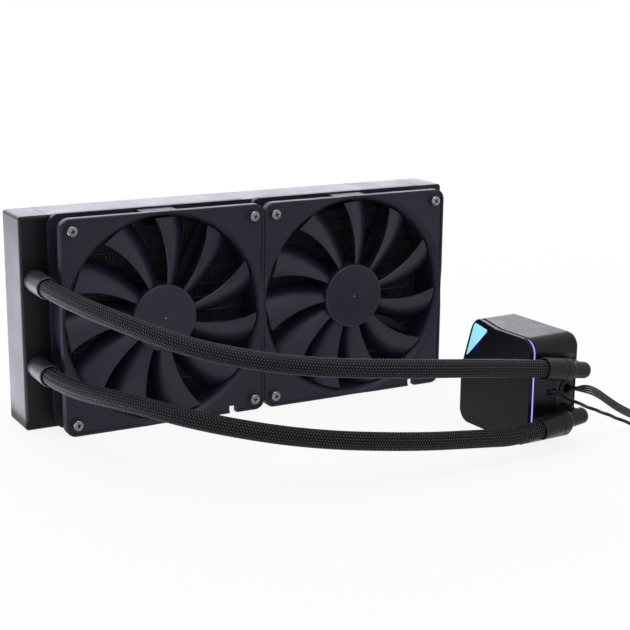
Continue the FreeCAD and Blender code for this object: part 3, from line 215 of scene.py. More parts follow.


# materials: each is named for the real finish, a few for the light and shade painted into them, and its
# note says what the eye sees

finishes = {
    # black powder coat, sprayed and baked: satin, a fine orange peel breaks reflections up
    "powder": Finish("powderCoatSatinBlack", "0B0B0E", 0.36, Specular_IOR_Level=0.2)
    .tone(70, "08080C", "0D0D12").shine(25, 0.33, 0.4).relief(0.9, 0.012),
    # thin aluminium of tubes, brazed and dipped black: a little dusty between the loops
    "core": Finish("blackDippedAluminium", "17161B", 0.5)
    .tone(12, "131217", "1E1D24").shine(8, 0.42, 0.56),
    # fin strip of the same black metal, painted lighter all over: a painted highlight in place of the light
    # that its cut edges catch
    "fin": Finish("finStripPaintedHighlight", "3F3D48", 0.45)
    .tone(12, "36343F", "484652").shine(8, 0.4, 0.5),
    # glass filled nylon from a spark eroded mould: matt, very fine even grain
    "frame": Finish("mouldedNylonFrame", "19181F", 0.5, Specular_IOR_Level=0.3)
    .tone(18, "161423", "1B192A").shine(9, 0.46, 0.54).relief(0.35, 0.01),
    # the same nylon for the blades, from a smoother mould, and a painted highlight at the hub's centre: a
    # pale dot where light catches the gate mark
    **{
        f"{side}Blade": Finish(f"mouldedNylonBlade{side.title()}", "1B1A21", 0.42, Specular_IOR_Level=0.35)
        .tone(22, "181727", "1D1B2E").shine(12, 0.38, 0.46).relief(0.3, 0.006)
        .paintedSpot(fanAxis(side), 0.6, "7C7A88")
        for side in ("left", "right")
    },
    # bright zinc plated steel: tight reflections, faint drawn marks
    "steel": Finish("brightZincPlatedSteel", "7C7C82", 0.25, 1.0)
    .tone(1.4, "68686E", "909096").relief(0.3, 0.006),
    # inside of the cross recess: painted shade, a dark dull colour in place of the steel where little light
    # gets in
    "recess": Finish("recessPaintedShade", "141417", 0.5)
    .tone(0.5, "101013", "1A1A1E"),
    # sintered bronze: dull, with fine pores
    "bronze": Finish("sinteredBronze", "A07A48", 0.45, 1.0)
    .shine(1.0, 0.4, 0.55).relief(0.2, 0.01),
    # bonded ferrite: dark, dull and slightly grainy
    "ferrite": Finish("bondedFerrite", "2A282A", 0.7)
    .tone(1.2, "252325", "302E30").relief(0.3, 0.01),
    # enamelled copper wire: warm, with the sheen of varnish
    "winding": Finish("enamelledCopperWire", "9A5A32", 0.35, 1.0)
    .tone(2.0, "8A4E2A", "A8663A").relief(0.4, 0.03),
    # glass epoxy board under green lacquer: even, with a soft gloss
    "board": Finish("glassEpoxyBoard", "15321F", 0.4)
    .tone(3.0, "122B1B", "193A25").shine(4.0, 0.35, 0.45),
    # moulded ABS with satin paint: soft wide reflections
    "shell": Finish("satinPaintedAbs", "0E0E12", 0.3, Specular_IOR_Level=0.2)
    .tone(40, "0B0B0F", "101015").shine(14, 0.27, 0.34).relief(0.7, 0.008),
    # tinted acrylic face with a satin front: deep black, only soft reflections
    "face": Finish("satinTintedAcrylic", "121116", 0.3, Specular_IOR_Level=0.12)
    .tone(60, "100F17", "15141C").shine(30, 0.27, 0.33),
    # frosted polycarbonate light guides: an even glow, a little stronger over the lamps
    "ring": Finish("frostedRingGuide", "4A3F80", 0.4)
    .glow("B398FF", 14, 1.1, 1.4),
    "window": Finish("frostedWindowGuide", "1A3038", 0.4)
    .glow("A2F0FF", 16, 0.82, 0.98),
    # glass filled polymer of the pump's body: matt with a faint sheen
    "bodyPolymer": Finish("glassFilledPolymer", "141419", 0.45)
    .tone(6, "121217", "18181D").relief(0.4, 0.01),
    # plain moulded polymer of the impeller: grey, smooth, soft highlights
    "impeller": Finish("impellerPolymer", "3A3A3E", 0.45)
    .tone(4, "343438", "404045").shine(4, 0.4, 0.5),
    # alumina, ground and polished: creamy white and glossy
    "ceramic": Finish("polishedCeramic", "E8E6DE", 0.15)
    .tone(2, "E2E0D8", "EEECE5").shine(2, 0.12, 0.2),
    # copper, fly cut: clear sheen with fine marks
    "copper": Finish("machinedCopper", "C9835B", 0.28, 1.0)
    .tone(5, "C07A52", "D28E66").shine(1.5, 0.22, 0.34),
    # moulded rubber of seals, gasket and grommet: matt black
    "rubber": Finish("mouldedRubber", "121214", 0.7)
    .tone(3, "0F0F11", "161618").relief(0.3, 0.01),
    # smooth moulded elbow: soft round highlight
    "elbow": Finish("smoothPolymerElbow", "131217", 0.36, Specular_IOR_Level=0.25)
    .tone(5, "111016", "16151B").shine(3, 0.34, 0.43),
    # crimp sleeve, blasted and black: matt, a broad grey sheen along the top
    "sleeve": Finish("blastedBlackSleeve", "1C1B21", 0.46)
    .tone(4, "18171D", "222128").shine(3, 0.42, 0.52).relief(0.25, 0.008),
    # crimp ferrule at the pump, anodised black: a soft sheen along its top
    "ferrule": Finish("anodisedBlackFerrule", "121116", 0.38, Specular_IOR_Level=0.22)
    .tone(4, "0F0E13", "151419").shine(3, 0.35, 0.42).relief(0.25, 0.006),
    # black polyester monofilament braid: a painted highlight where a thread crosses over, painted shade
    # where it dips
    "braid": Finish("polyesterMonofilamentBraid", "0A0A0C", 0.34, Specular_IOR_Level=0.2)
    .threads("crown", "020203", "0C0B10", "7C7A88").shine(1.5, 0.28, 0.4),
    # soft PVC insulation: smooth, a clear highlight along each wire
    "wire": Finish("softPvcInsulation", "0B0B0D", 0.32, Specular_IOR_Level=0.35)
    .tone(6, "09090B", "0F0F12").shine(3, 0.27, 0.38),
    # moulded nylon plug: matt, fine grain
    "plug": Finish("nylonConnector", "17171A", 0.45)
    .tone(4, "141417", "1C1C20").relief(0.3, 0.008),
}

# what the pump's lights leave on the face and on the lead beside them
facePlate, insulation = finishes["face"], finishes["wire"]
facePlate.spill(
    "2430B8",
    (facePlate.fromPoint(middleOf("corner_window")), 13, 0.3),
    (facePlate.fromPlane(pumpInward, depthOf("light_ring")), 1.2, 0.1),
)
insulation.spill("2E62C8", (insulation.fromPoint(lightLeadExit), 9, 0.03))
finishes = {name: finish.material for name, finish in finishes.items()}
print("materials made:", len(finishes))


# CAD nodes that keep their shape

def dress(finish, *names):
    for name in names:
        mesh = nodes[name].data
        mesh.materials.clear()
        mesh.materials.append(finishes[finish])


dress("powder", "left_end_tank", "right_end_tank", "top_side_rail", "bottom_side_rail")
dress("core", "left_header_plate", "right_header_plate", "coolant_tubes", "fin_strips")
for side in ("upper", "lower"):
    dress("powder", f"radiator_{side}_barb")
    dress("sleeve", f"radiator_{side}_sleeve")
    dress("ferrule", f"{side}_elbow_ferrule")
    dress("elbow", f"{side}_elbow")
    dress("rubber", f"{side}_elbow_seal")
    dress("braid", f"{side}_hose")
for side in ("left", "right"):
    dress("frame", f"{side}_fan_frame")
    dress(f"{side}Blade", f"{side}_fan_rotor")
    dress("steel", f"{side}_fan_shaft", f"{side}_fan_screws")
    dress("bronze", f"{side}_fan_bearing")
    dress("winding", f"{side}_fan_stator")
    dress("ferrite", f"{side}_fan_magnet_ring")
    dress("board", f"{side}_fan_circuit_board")
dress("face", "face_plate")
dress("ring", "light_ring")
dress("board", "light_board", "control_board")
dress("shell", "pump_cap", "base_ring")
dress("bodyPolymer", "pump_body", "port_plate")
dress("winding", "pump_stator")
dress("impeller", "impeller")
dress("ceramic", "impeller_shaft")
dress("steel", "jet_plate", "cold_plate_screws")
dress("rubber", "base_gasket", "cable_grommet")
dress("copper", "cold_plate")
dress("plug", "pump_plug", "light_plug")
dress("wire", "pump_lead", "pump_lead_coil", "light_lead", "light_lead_coil")
print("CAD nodes dressed")


# mesh helpers

def linkMesh(name, bm, material, smooth=True):
    mesh = bpy.data.meshes.new(name)
    bm.to_mesh(mesh)
    bm.free()
    mesh.materials.append(material)
    if smooth:
        mesh.shade_smooth()
    piece = bpy.data.objects.new(name, mesh)
    bpy.context.scene.collection.objects.link(piece)
    return piece


def meshOfCurve(curve):
    holder = bpy.data.objects.new(curve.name, curve)
    bpy.context.scene.collection.objects.link(holder)
    mesh = bpy.data.meshes.new_from_object(holder)
    bpy.data.objects.remove(holder)
    return mesh


# cords: one NURBS spline each, its points those of the CAD route

def centreLine(name, points):
    # points along the smooth route, read from a NURBS spline with no bevel
    curve = bpy.data.curves.new(name + "Route", "CURVE")
    curve.dimensions = "3D"
    curve.resolution_u = 24
    spline = curve.splines.new("NURBS")
    spline.points.add(len(points) - 1)
    for point, place in zip(spline.points, points):
        point.co = (*place, 1.0)
    spline.order_u = 3
    spline.use_endpoint_u = True
    mesh = meshOfCurve(curve)
    line = [vertex.co.copy() for vertex in mesh.vertices]
    bpy.data.meshes.remove(mesh)
    return line


def travelAlong(line):
    # how far along the line each of its points lies
    lengths = [0.0]
    for before, here in zip(line, line[1:]):
        lengths.append(lengths[-1] + (here - before).length)
    return lengths


def evenly(line, step):
    # the same line with points a step apart, and its length
    lengths = travelAlong(line)
    count = max(2, round(lengths[-1] / step))
    even = []
    index = 0
    for k in range(count + 1):
        want = lengths[-1] * k / count
        while index < len(line) - 2 and lengths[index + 1] < want:
            index += 1
        share = (want - lengths[index]) / max(lengths[index + 1] - lengths[index], speck)
        even.append(line[index].lerp(line[index + 1], min(max(share, 0.0), 1.0)))
    return even, lengths[-1]


def framesAlong(line):
    # tangent, side and top direction at each point, carried along without twist
    frames = []
    top = Vector((0, 0, 1))
    for index in range(len(line)):
        tangent = (line[min(index + 1, len(line) - 1)] - line[max(index - 1, 0)]).normalized()
        top = (top - tangent * top.dot(tangent)).normalized()
        frames.append((tangent, tangent.cross(top), top))
    return frames


# hoses: a rubber tube under a braid of flat tapes

hose = {
    "radius": 5.6 * mm,
    "coreRadius": 5.05 * mm,
    "coreSides": 20,
    "coreStride": 4,  # samples between the core's rings
    "carriers": 20,  # tapes that wind each way
    "lay": 33.6 * mm,  # length of one turn of a tape
    "tapeWidth": 1.1 * mm,
    "tapeRise": 0.16 * mm,
    "tapeThickness": 0.3 * mm,
    "edgeHighlight": 0.35,  # painted highlight on a tape's edges, as a share of that on its middle
    "step": 0.53 * mm,
    "pathStride": 6,
    "bendShare": 0.28,  # share of the length next to the pump
    "routes": {
        "upper": [
            (-0.147, -0.036, 0.098), (-0.147, -0.075, 0.098), (-0.127, -0.127, 0.0915),
            (-0.101, -0.162, 0.0825), (-0.054, -0.1925, 0.0745), (0.012, -0.2065, 0.0685),
            (0.08225, -0.2038, 0.05935), (0.11672, -0.20178, 0.05364),
        ],
        "lower": [
            (-0.147, -0.036, 0.042), (-0.147, -0.070, 0.042), (-0.126, -0.125, 0.0447),
            (-0.095, -0.163, 0.0388), (-0.046, -0.1925, 0.0307), (0.016, -0.205, 0.0232),
            (0.068, -0.2044, 0.0173), (0.093, -0.2032, 0.014), (0.11654, -0.20179, 0.01674),
        ],
    },
}


def pointOn(line, frames, along, angle, radius):
    # along in samples, round the hose by angle
    index = min(max(int(along), 0), len(line) - 2)
    share = min(max(along - index, 0.0), 1.0)
    tangent, side, top = frames[index]
    centre = line[index].lerp(line[index + 1], share)
    return centre + side * (radius * math.sin(angle)) + top * (radius * math.cos(angle))


def hoseCore(bm, line, frames):
    # a grid rolled up round the line
    samples = len(line) - 1
    rings = samples // hose["coreStride"]
    grid = bmesh.ops.create_grid(bm, x_segments=rings, y_segments=hose["coreSides"], size=0.5)["verts"]
    for vertex in grid:
        along = (vertex.co.x + 0.5) * samples
        angle = (vertex.co.y + 0.5) * 2 * math.pi
        vertex.co = pointOn(line, frames, along, angle, hose["coreRadius"])
    bmesh.ops.remove_doubles(bm, verts=bm.verts[:], dist=2 * hair)


def braidTape(bm, crown, line, frames, length, way, carrier):
    # one tape that winds one way, over two tapes of the other set and under the next two
    samples = len(line) - 1
    radius = hose["radius"] - hose["tapeRise"] - hose["tapeThickness"] / 2
    lean = math.atan(2 * math.pi * radius / hose["lay"])
    half = hose["tapeWidth"] / 2
    rise = hose["tapeThickness"] / 2
    section = [(-half, -rise), (0.0, rise), (half, -rise), (-half, -rise)]
    sides = len(section) - 1
    tape = bmesh.ops.create_grid(bm, x_segments=samples, y_segments=sides, size=0.5)["verts"]
    for vertex in tape:
        along = (vertex.co.x + 0.5) * length
        across, above = section[round((vertex.co.y + 0.5) * sides)]
        turns = way * along / hose["lay"]
        crossed = carrier + 2 * turns * hose["carriers"]  # tape of the other set that it meets here
        lift = math.cos(math.pi / 2 * (carrier + crossed - 0.5)) * way
        place = (along - way * across * math.sin(lean)) / length * samples
        angle = 2 * math.pi * (turns + carrier / hose["carriers"]) + across * math.cos(lean) / radius
        vertex.co = pointOn(line, frames, place, angle, radius + lift * hose["tapeRise"] + above)
        # painted light: high on the middle of a crossing thread, low where it dips and along its edges
        vertex[crown] = (0.5 + 0.5 * lift) * (1.0 if above > 0 else hose["edgeHighlight"])
    bmesh.ops.remove_doubles(bm, verts=tape, dist=0.2 * hair)


def braidedHose(side, route):
    name = f"{side}BraidedHose"
    line, length = evenly(centreLine(name, route), hose["step"])
    frames = framesAlong(line)
    bm = bmesh.new()
    crown = bm.verts.layers.float.new("crown")
    hoseCore(bm, line, frames)
    for way in (1, -1):
        for carrier in range(hose["carriers"]):
            braidTape(bm, crown, line, frames, length, way, carrier)
    bmesh.ops.holes_fill(bm, edges=[edge for edge in bm.edges if edge.is_boundary])
    bmesh.ops.recalc_face_normals(bm, faces=bm.faces[:])
    piece = linkMesh(name, bm, finishes["braid"])
    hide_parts(f"{side}_hose")
    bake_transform(piece)
    print("hose made:", side, round(length, 4), "m", len(piece.data.polygons), "faces")


for side, route in hose["routes"].items():
    braidedHose(side, route)


# leads: round wires that follow a route, then the coil of what is put away

pumpLead = {
    "name": "pumpRibbonLead",
    "solids": ["pump_lead", "pump_lead_coil"],
    "plug": "pump_plug",
    "wires": 4,
    "wireRadius": 0.66 * mm,
    "wirePitch": 1.4 * mm,
    "width": 5.5 * mm,
    "turnFrom": 10 * mm,  # the ribbon is level up to here
    "turnTo": 22 * mm,  # and on edge from here
    "edgeAngle": math.radians(80),
    "step": 1.2 * mm,
    "route": [
        (0.1405, -0.1839, 0.0345), (0.1414, -0.196, 0.0364), (0.1485, -0.200, 0.0362),
        (0.158, -0.1985, 0.0315), (0.168, -0.1955, 0.025), (0.179, -0.193, 0.018),
        (0.190, -0.191, 0.012), (0.202, -0.1868, 0.0064), (0.2124, -0.180, 0.0033),
        (0.2224, -0.1735, 0.003),
    ],
    "coilCentre": (0.240, -0.2005),
    "coilRadius": 30.4 * mm,
    "coilDrift": -1.6 * mm,
    "turns": 1.14,
    "perTurn": 14,
    "wayOut": [(0.248, -0.1655, 0.003)],
}
lightLead = {
    "name": "lightTwistedLead",
    "solids": ["light_lead", "light_lead_coil"],
    "plug": "light_plug",
    "wires": 3,
    "wireRadius": 0.56 * mm,
    "strandRadius": 0.62 * mm,  # from the lead's middle to a wire's
    "width": 2.7 * mm,
    "twist": 42.0 * mm,  # length of one turn of the wires
    "step": 0.8 * mm,
    "route": [
        (0.12635, -0.1885, 0.0342), lightLeadExit, (0.1354, -0.1904, 0.0326),
        (0.142, -0.1912, 0.0276), (0.1505, -0.1924, 0.0234), (0.161, -0.1926, 0.0186),
        (0.172, -0.1914, 0.0138), (0.183, -0.1904, 0.0086), (0.194, -0.1918, 0.0036),
        (0.201, -0.1985, 0.0015), (0.206, -0.2085, 0.0014), (0.211, -0.2188, 0.0014),
        (0.2158, -0.2269, 0.0015),
    ],
    "coilCentre": (0.200, -0.236),
    "coilRadius": 15.6 * mm,
    "coilDrift": -2.7 * mm,
    "turns": 2.1,
    "perTurn": 12,
    "wayOut": [],
}


def coiledRoute(lead):
    # the route and its coil: clockwise from above, each turn a little smaller
    centreX, centreY = lead["coilCentre"]
    lastX, lastY, level = lead["route"][-1]
    startAngle = math.atan2(lastY - centreY, lastX - centreX)
    points = list(lead["route"])
    for k in range(1, round(lead["turns"] * lead["perTurn"]) + 1):
        angle = startAngle - 2 * math.pi * k / lead["perTurn"]
        radius = lead["coilRadius"] + lead["coilDrift"] * k / lead["perTurn"]
        points.append((centreX + radius * math.cos(angle), centreY + radius * math.sin(angle), level))
    return points + lead["wayOut"]


def ribbonWires(lead, line):
    # wires side by side, level at the exit and then turned on edge
    wires = [[] for _ in range(lead["wires"])]
    for point, (tangent, _, _), travelled in zip(line, framesAlong(line), travelAlong(line)):
        level = Vector((tangent.y, -tangent.x, 0)).normalized()
        share = min(max((travelled - lead["turnFrom"]) / (lead["turnTo"] - lead["turnFrom"]), 0), 1)
        lean = lead["edgeAngle"] * share * share * (3 - 2 * share)
        across = level * math.cos(lean) + tangent.cross(level) * math.sin(lean)
        for index, wire in enumerate(wires):
            wire.append(point + across * ((index - (lead["wires"] - 1) / 2) * lead["wirePitch"]))
    return wires


def twistedWires(lead, line):
    # wires wound round the lead's middle line
    wires = [[] for _ in range(lead["wires"])]
    for point, (_, side, top), travelled in zip(line, framesAlong(line), travelAlong(line)):
        for index, wire in enumerate(wires):
            angle = 2 * math.pi * (travelled / lead["twist"] + index / lead["wires"])
            wire.append(point + (side * math.cos(angle) + top * math.sin(angle)) * lead["strandRadius"])
    return wires


def sweptWires(name, wires, radius):
    # one mesh of round wires, one along each list of points
    curve = bpy.data.curves.new(name, "CURVE")
    curve.dimensions = "3D"
    curve.bevel_depth = radius
    curve.bevel_resolution = 2
    curve.use_fill_caps = True
    for places in wires:
        spline = curve.splines.new("POLY")
        spline.points.add(len(places) - 1)
        for point, place in zip(spline.points, places):
            point.co = (*place, 1.0)
    mesh = meshOfCurve(curve)
    mesh.materials.clear()
    mesh.materials.append(finishes["wire"])
    mesh.shade_smooth()
    piece = bpy.data.objects.new(name, mesh)
    bpy.context.scene.collection.objects.link(piece)
    return piece


def layLead(lead, wiresAlong):
    line, length = evenly(centreLine(lead["name"], coiledRoute(lead)), lead["step"])
    piece = sweptWires(lead["name"], wiresAlong(lead, line), lead["wireRadius"])
    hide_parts(*lead["solids"])
    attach(piece, "root")
    print("lead made:", lead["name"], round(length, 4), "m")


layLead(pumpLead, ribbonWires)
layLead(lightLead, twistedWires)


# fine fins in place of the coarse ones

fins = {
    "rows": 15,
    "pitch": 2.35 * mm,
    "depth": 25.0 * mm,
    "sheet": 0.3 * mm,  # drawn three times as thick, so that it shows
    "crown": 1.7 * mm,
    "tubeHeight": 2.0 * mm,
    "rowShift": 0.37,  # of a loop, from each row to the next
    "shiftReach": 0.5,  # of a loop at most
}


def foldedFins():
    # one strip for each row: up, along its crown, down and along again
    low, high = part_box("fin_strips")
    bm = bmesh.new()
    loops = round((high.x - low.x) / fins["pitch"])
    pitch = (high.x - low.x) / loops
    corners = (0.0, fins["crown"] / 2, pitch / 2, pitch / 2 + fins["crown"] / 2)
    folds = len(corners) * loops
    rowPitch = (high.z - low.z) / fins["rows"]
    middle = (low.y + high.y) / 2
    for row in range(fins["rows"]):
        bottom = low.z + rowPitch * row + (fins["tubeHeight"] / 2 if row else 0) + fins["sheet"] / 2
        top = low.z + rowPitch * (row + 1) - fins["sheet"] / 2
        if row < fins["rows"] - 1:
            top -= fins["tubeHeight"] / 2
        shift = (row * fins["rowShift"] % 1.0) * fins["shiftReach"] * pitch
        strip = bmesh.ops.create_grid(bm, x_segments=folds, y_segments=1, size=0.5)["verts"]
        for vertex in strip:
            loop, corner = divmod(round((vertex.co.x + 0.5) * folds), len(corners))
            along = min(low.x + loop * pitch + corners[corner] + shift, high.x)
            vertex.co = Vector((along, middle + vertex.co.y * fins["depth"], bottom if corner < 2 else top))
    bmesh.ops.solidify(bm, geom=bm.faces[:], thickness=fins["sheet"])
    bmesh.ops.recalc_face_normals(bm, faces=bm.faces[:])
    piece = linkMesh("foldedCoreFins", bm, finishes["fin"], smooth=False)
    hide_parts("fin_strips")
    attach(piece, "root")
    print("fins made:", len(piece.data.polygons), "faces")


foldedFins()


# fan screws with pan heads and cross recesses

screw = {
    "headRadius": 3.5 * mm,
    "headHeight": 2.3 * mm,
    "headSides": 40,
    "crownHeight": 1.3 * mm,
    "recessReach": 2.1 * mm,
    "recessWidth": 1.15 * mm,
    "recessDepth": 1.5 * mm,
    "recessTaper": 0.45,  # size of its foot beside its mouth
    "firstTurn": 0.4,  # radians that the first recess stands turned
    "nextTurn": 1.3,  # and each one after it further
    "holeSpacing": 124.5 * mm,
    "shankRadius": 1.7 * mm,
    "tipRadius": 1.02 * mm,
    "shankSides": 24,
    "length": 28.0 * mm,
    "sharpAbove": math.radians(35),
}


def oneScrew():
    # head upwards along Z, its seat at the origin
    bm = bmesh.new()
    bmesh.ops.create_cone(
        bm, cap_ends=True, segments=screw["headSides"], radius1=screw["headRadius"],
        radius2=screw["headRadius"], depth=screw["headHeight"],
        matrix=Matrix.Translation((0, 0, screw["headHeight"] / 2))
    )
    rim = [edge for edge in bm.edges if all(v.co.z > screw["headHeight"] - hair for v in edge.verts)]
    bmesh.ops.bevel(
        bm, geom=rim, offset=screw["crownHeight"], offset_type="OFFSET", affect="EDGES",
        segments=6, profile=0.5, material=-1
    )
    bmesh.ops.create_cone(
        bm, cap_ends=True, segments=screw["shankSides"], radius1=screw["tipRadius"],
        radius2=screw["shankRadius"], depth=screw["length"],
        matrix=Matrix.Translation((0, 0, -screw["length"] / 2))
    )
    return linkMesh("screwBlank", bm, finishes["steel"])


def crossCutter():
    # two crossed wings that narrow downwards
    bm = bmesh.new()
    for turn in (0, math.pi / 2):
        arm = bmesh.ops.create_cube(bm, size=1.0)["verts"]
        bmesh.ops.scale(
            bm, vec=(2 * screw["recessReach"], screw["recessWidth"], 2 * screw["recessDepth"]), verts=arm
        )
        bmesh.ops.rotate(bm, matrix=Matrix.Rotation(turn, 3, "Z"), verts=arm)
        foot = [vertex for vertex in arm if vertex.co.z < 0]
        bmesh.ops.scale(bm, vec=(screw["recessTaper"], screw["recessTaper"], 1.0), verts=foot)
        bmesh.ops.translate(bm, vec=(0, 0, screw["headHeight"]), verts=arm)
    # its faces carry the recess's painted shade onto the cut
    return linkMesh("crossCutter", bm, finishes["recess"], smooth=False)


def cutScrew():
    # mesh of one screw with its recess, in both finishes
    blank = oneScrew()
    cutter = crossCutter()
    cut = blank.modifiers.new("recess", "BOOLEAN")
    cut.operation = "DIFFERENCE"
    cut.solver = "EXACT"
    cut.use_self = True
    cut.material_mode = "TRANSFER"
    cut.object = cutter
    bpy.context.view_layer.update()
    finished = bpy.data.meshes.new_from_object(blank.evaluated_get(bpy.context.evaluated_depsgraph_get()))
    for holder in (blank, cutter):
        bpy.data.objects.remove(holder)
    return finished


def fanScrews(side):
    finished = cutScrew()
    low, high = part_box(f"{side}_fan_screws")
    seat = low.y + screw["headHeight"]
    middleX = (low.x + high.x) / 2
    middleZ = (low.z + high.z) / 2
    half = screw["holeSpacing"] / 2
    bm = bmesh.new()
    for index, (across, above) in enumerate(((-half, -half), (-half, half), (half, -half), (half, half))):
        known = set(bm.verts)
        bm.from_mesh(finished)
        added = [vertex for vertex in bm.verts if vertex not in known]
        turn = screw["firstTurn"] + screw["nextTurn"] * index
        bmesh.ops.rotate(bm, matrix=Matrix.Rotation(turn, 3, "Z"), verts=added)
        bmesh.ops.rotate(bm, matrix=Matrix.Rotation(math.pi / 2, 3, "X"), verts=added)
        bmesh.ops.translate(bm, vec=(middleX + across, seat, middleZ + above), verts=added)
    piece = linkMesh(f"{side}PanScrews", bm, finishes["steel"])
    # second material: the painted shade inside the recesses
    piece.data.materials.append(finishes["recess"])
    piece.data.set_sharp_from_angle(angle=screw["sharpAbove"])
    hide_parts(f"{side}_fan_screws")
    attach(piece, "root")
    print("screws made:", side, len(piece.data.polygons), "faces")


for side in ("left", "right"):
    fanScrews(side)


# corner window: a rounded triangle flush on the plate's facet, a little larger than its solid

window = {
    "grow": 0.4 * mm,
    "legAcross": 21.8 * mm,
    "legDown": 22.2 * mm,
    "round": 2.9 * mm,
    "solidSink": 0.2 * mm,  # how far the solid lies behind the facet
    "proud": 0.06 * mm,
    "thickness": 0.3 * mm,
}


def cornerWindow():
    solid = nodes["corner_window"].data
    aside = Vector((-math.sin(pumpTurn), math.cos(pumpTurn), 0))
    # the solid's largest face that looks out of the block lies along the facet
    front = max(solid.polygons, key=lambda face: face.area * (face.normal.dot(pumpInward) < -0.5))
    outward = front.normal.copy()
    onPlane = front.center + outward * (window["solidSink"] + window["proud"])
    edge = max(vertex.co.dot(aside) for vertex in solid.vertices) + window["grow"]
    top = max(vertex.co.z for vertex in solid.vertices) + window["grow"]
    bm = bmesh.new()
    corners = []
    for across, down in ((0, 0), (window["legAcross"], 0), (0, window["legDown"])):
        flat = aside * (edge - across) + Vector((0, 0, top - down))
        deep = (onPlane - flat).dot(outward) / pumpInward.dot(outward)
        corners.append(bm.verts.new(flat + pumpInward * deep))
    bm.faces.new(corners)
    bmesh.ops.bevel(
        bm, geom=bm.verts[:], offset=window["round"], offset_type="OFFSET", affect="VERTICES",
        segments=6, profile=0.5, material=-1
    )
    plate = bmesh.ops.extrude_face_region(bm, geom=bm.faces[:], use_keep_orig=True)["geom"]
    back = [part for part in plate if isinstance(part, bmesh.types.BMVert)]
    bmesh.ops.translate(bm, vec=-outward * window["thickness"], verts=back)
    bmesh.ops.recalc_face_normals(bm, faces=bm.faces[:])
    piece = linkMesh("cornerLightWindow", bm, finishes["window"], smooth=False)
    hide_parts("corner_window")
    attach(piece, "root")
    print("corner window made")


cornerWindow()


# stage, light and camera

stage = {
    "floorSize": 8.0,
    "floorColour": "F0F0F2",
    "floorRoughness": 0.8,
    "clearFrom": 0.2,  # the floor fades to clean white from here
    "clearTo": 0.9,  # to here
    "nearWhite": 0.87,  # how white it already is at the object
    "worldLight": 0.55,  # what the world gives the surfaces
}
white = (1, 1, 1, 1)


def seenOrMirrored(tree):
    # 1 where the camera, metal or glass looks, 0 for the light that surfaces give each other
    path = addNode(tree, "ShaderNodeLightPath")
    seen = path.outputs["Is Camera Ray"]
    for ray in ("Is Glossy Ray", "Is Transmission Ray"):
        either = addNode(tree, "ShaderNodeMath", {"operation": "MAXIMUM"}, {0: seen, 1: path.outputs[ray]})
        seen = either.outputs["Value"]
    return seen


def studioFloor():
    # pale paper floor: the camera, metal and glass see it fade to clean white, with its shadow near by
    bm = bmesh.new()
    bmesh.ops.create_grid(bm, x_segments=1, y_segments=1, size=stage["floorSize"] / 2)
    paper = Finish("paleStudioPaper", stage["floorColour"], stage["floorRoughness"])
    tree = paper.tree
    distance = addNode(tree, "ShaderNodeVectorMath", {"operation": "LENGTH"}, {0: paper.surface})
    settings = {
        "interpolation_type": "SMOOTHSTEP", "From Min": stage["clearFrom"], "From Max": stage["clearTo"],
        "To Min": stage["nearWhite"], "To Max": 1.0,
    }
    far = addNode(tree, "ShaderNodeMapRange", settings, {"Value": distance.outputs["Value"]})
    links = {0: far.outputs["Result"], 1: seenOrMirrored(tree)}
    seen = addNode(tree, "ShaderNodeMath", {"operation": "MULTIPLY"}, links)
    glow = addNode(tree, "ShaderNodeEmission", {"Color": white, "Strength": 1.0})
    mix = addNode(
        tree, "ShaderNodeMixShader",
        links={0: seen.outputs["Value"], 1: paper.shader.outputs["BSDF"], 2: glow.outputs["Emission"]}
    )
    tree.links.new(mix.outputs["Shader"], tree.nodes["Material Output"].inputs["Surface"])
    linkMesh("studioFloor", bm, paper.material, smooth=False)


def studioWorld():
    # soft even light on the surfaces, clean white where the camera, metal or glass looks
    world = bpy.data.worlds.new("studioWorld")
    bpy.context.scene.world = world
    world.use_nodes = True
    tree = world.node_tree
    tree.nodes.clear()
    soft = addNode(tree, "ShaderNodeBackground", {"Color": white, "Strength": stage["worldLight"]})
    clean = addNode(tree, "ShaderNodeBackground", {"Color": white, "Strength": 1.0})
    mix = addNode(
        tree, "ShaderNodeMixShader",
        links={0: seenOrMirrored(tree), 1: soft.outputs["Background"], 2: clean.outputs["Background"]}
    )
    addNode(tree, "ShaderNodeOutputWorld", links={"Surface": mix.outputs["Shader"]})


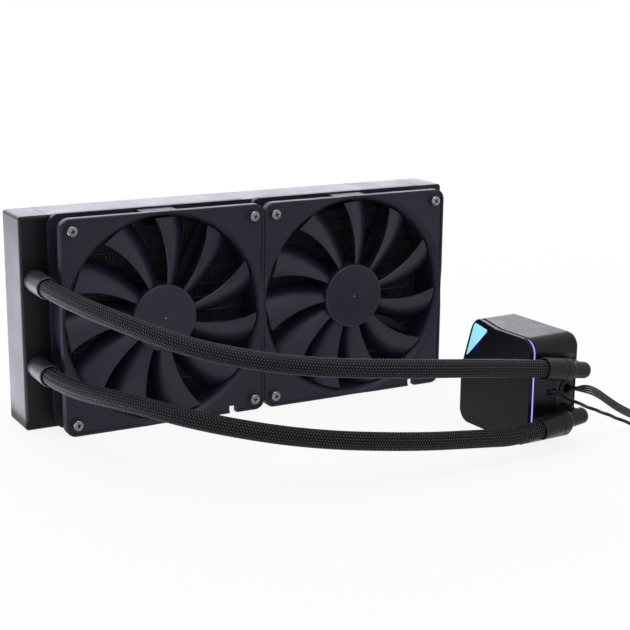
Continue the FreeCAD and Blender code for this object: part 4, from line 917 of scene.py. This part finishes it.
lamps = {
    # name: place, point it faces, size, watts, tint
    "topSoftBox": ((-0.2, -0.3, 1.7), (0, -0.1, 0), (1.5, 1.2), 15, "F7F6FF"),
    "backSoftBox": ((0.32, 1.7, 0.62), (0.1, 0, 0.1), (1.9, 0.8), 16.5, "F0EDFF"),
    "lowRightPanel": ((1.5, 1.7, 0.66), (0.1, 0, 0.1), (0.42, 0.5), 1.1, "F0EDFF"),
    "leftFloorPanel": ((-0.43, 0.31, 0.004), (-0.43, 0.31, 1.0), (0.54, 0.88), 4.8, "F0EDFF"),
}


def softBox(name, place, target, size, power, tint):
    light = bpy.data.lights.new(name, "AREA")
    light.shape = "RECTANGLE"
    light.size, light.size_y = size
    light.energy = power
    light.color = linear(tint)[:3]
    lamp = bpy.data.objects.new(name, light)
    bpy.context.scene.collection.objects.link(lamp)
    lamp.location = place
    lamp.rotation_euler = (Vector(target) - Vector(place)).to_track_quat("-Z", "Y").to_euler()
    lamp.visible_camera = False


cameraAt = {
    "place": (-0.42387, -0.88512, 0.29967),
    "heading": 28.82,  # degrees right of straight ahead
    "down": 13.946,
    "roll": 0.547,
    "focalPixels": 1462.0,
    "frameWidth": 630.0,
    "sensorWidth": 36.0,
}


def studioCamera():
    camera = bpy.data.cameras.new("photoCamera")
    camera.sensor_width = cameraAt["sensorWidth"]
    camera.sensor_fit = "HORIZONTAL"
    camera.lens = camera.sensor_width * cameraAt["focalPixels"] / cameraAt["frameWidth"]
    holder = bpy.data.objects.new("photoCamera", camera)
    bpy.context.scene.collection.objects.link(holder)
    heading, down, roll = (math.radians(cameraAt[name]) for name in ("heading", "down", "roll"))
    level = Vector((math.sin(heading), math.cos(heading), 0))
    forward = level * math.cos(down) - Vector((0, 0, math.sin(down)))
    right = Vector((math.cos(heading), -math.sin(heading), 0))
    top = right.cross(forward)
    rightRolled = right * math.cos(roll) + top * math.sin(roll)
    topRolled = top * math.cos(roll) - right * math.sin(roll)
    turn = Matrix((rightRolled, topRolled, -forward)).transposed().to_4x4()
    holder.matrix_world = Matrix.Translation(cameraAt["place"]) @ turn
    bpy.context.scene.camera = holder


studioFloor()
studioWorld()
for name, values in lamps.items():
    softBox(name, *values)
studioCamera()
bpy.context.scene.view_settings.view_transform = "Standard"
print("stage, lights and camera set")
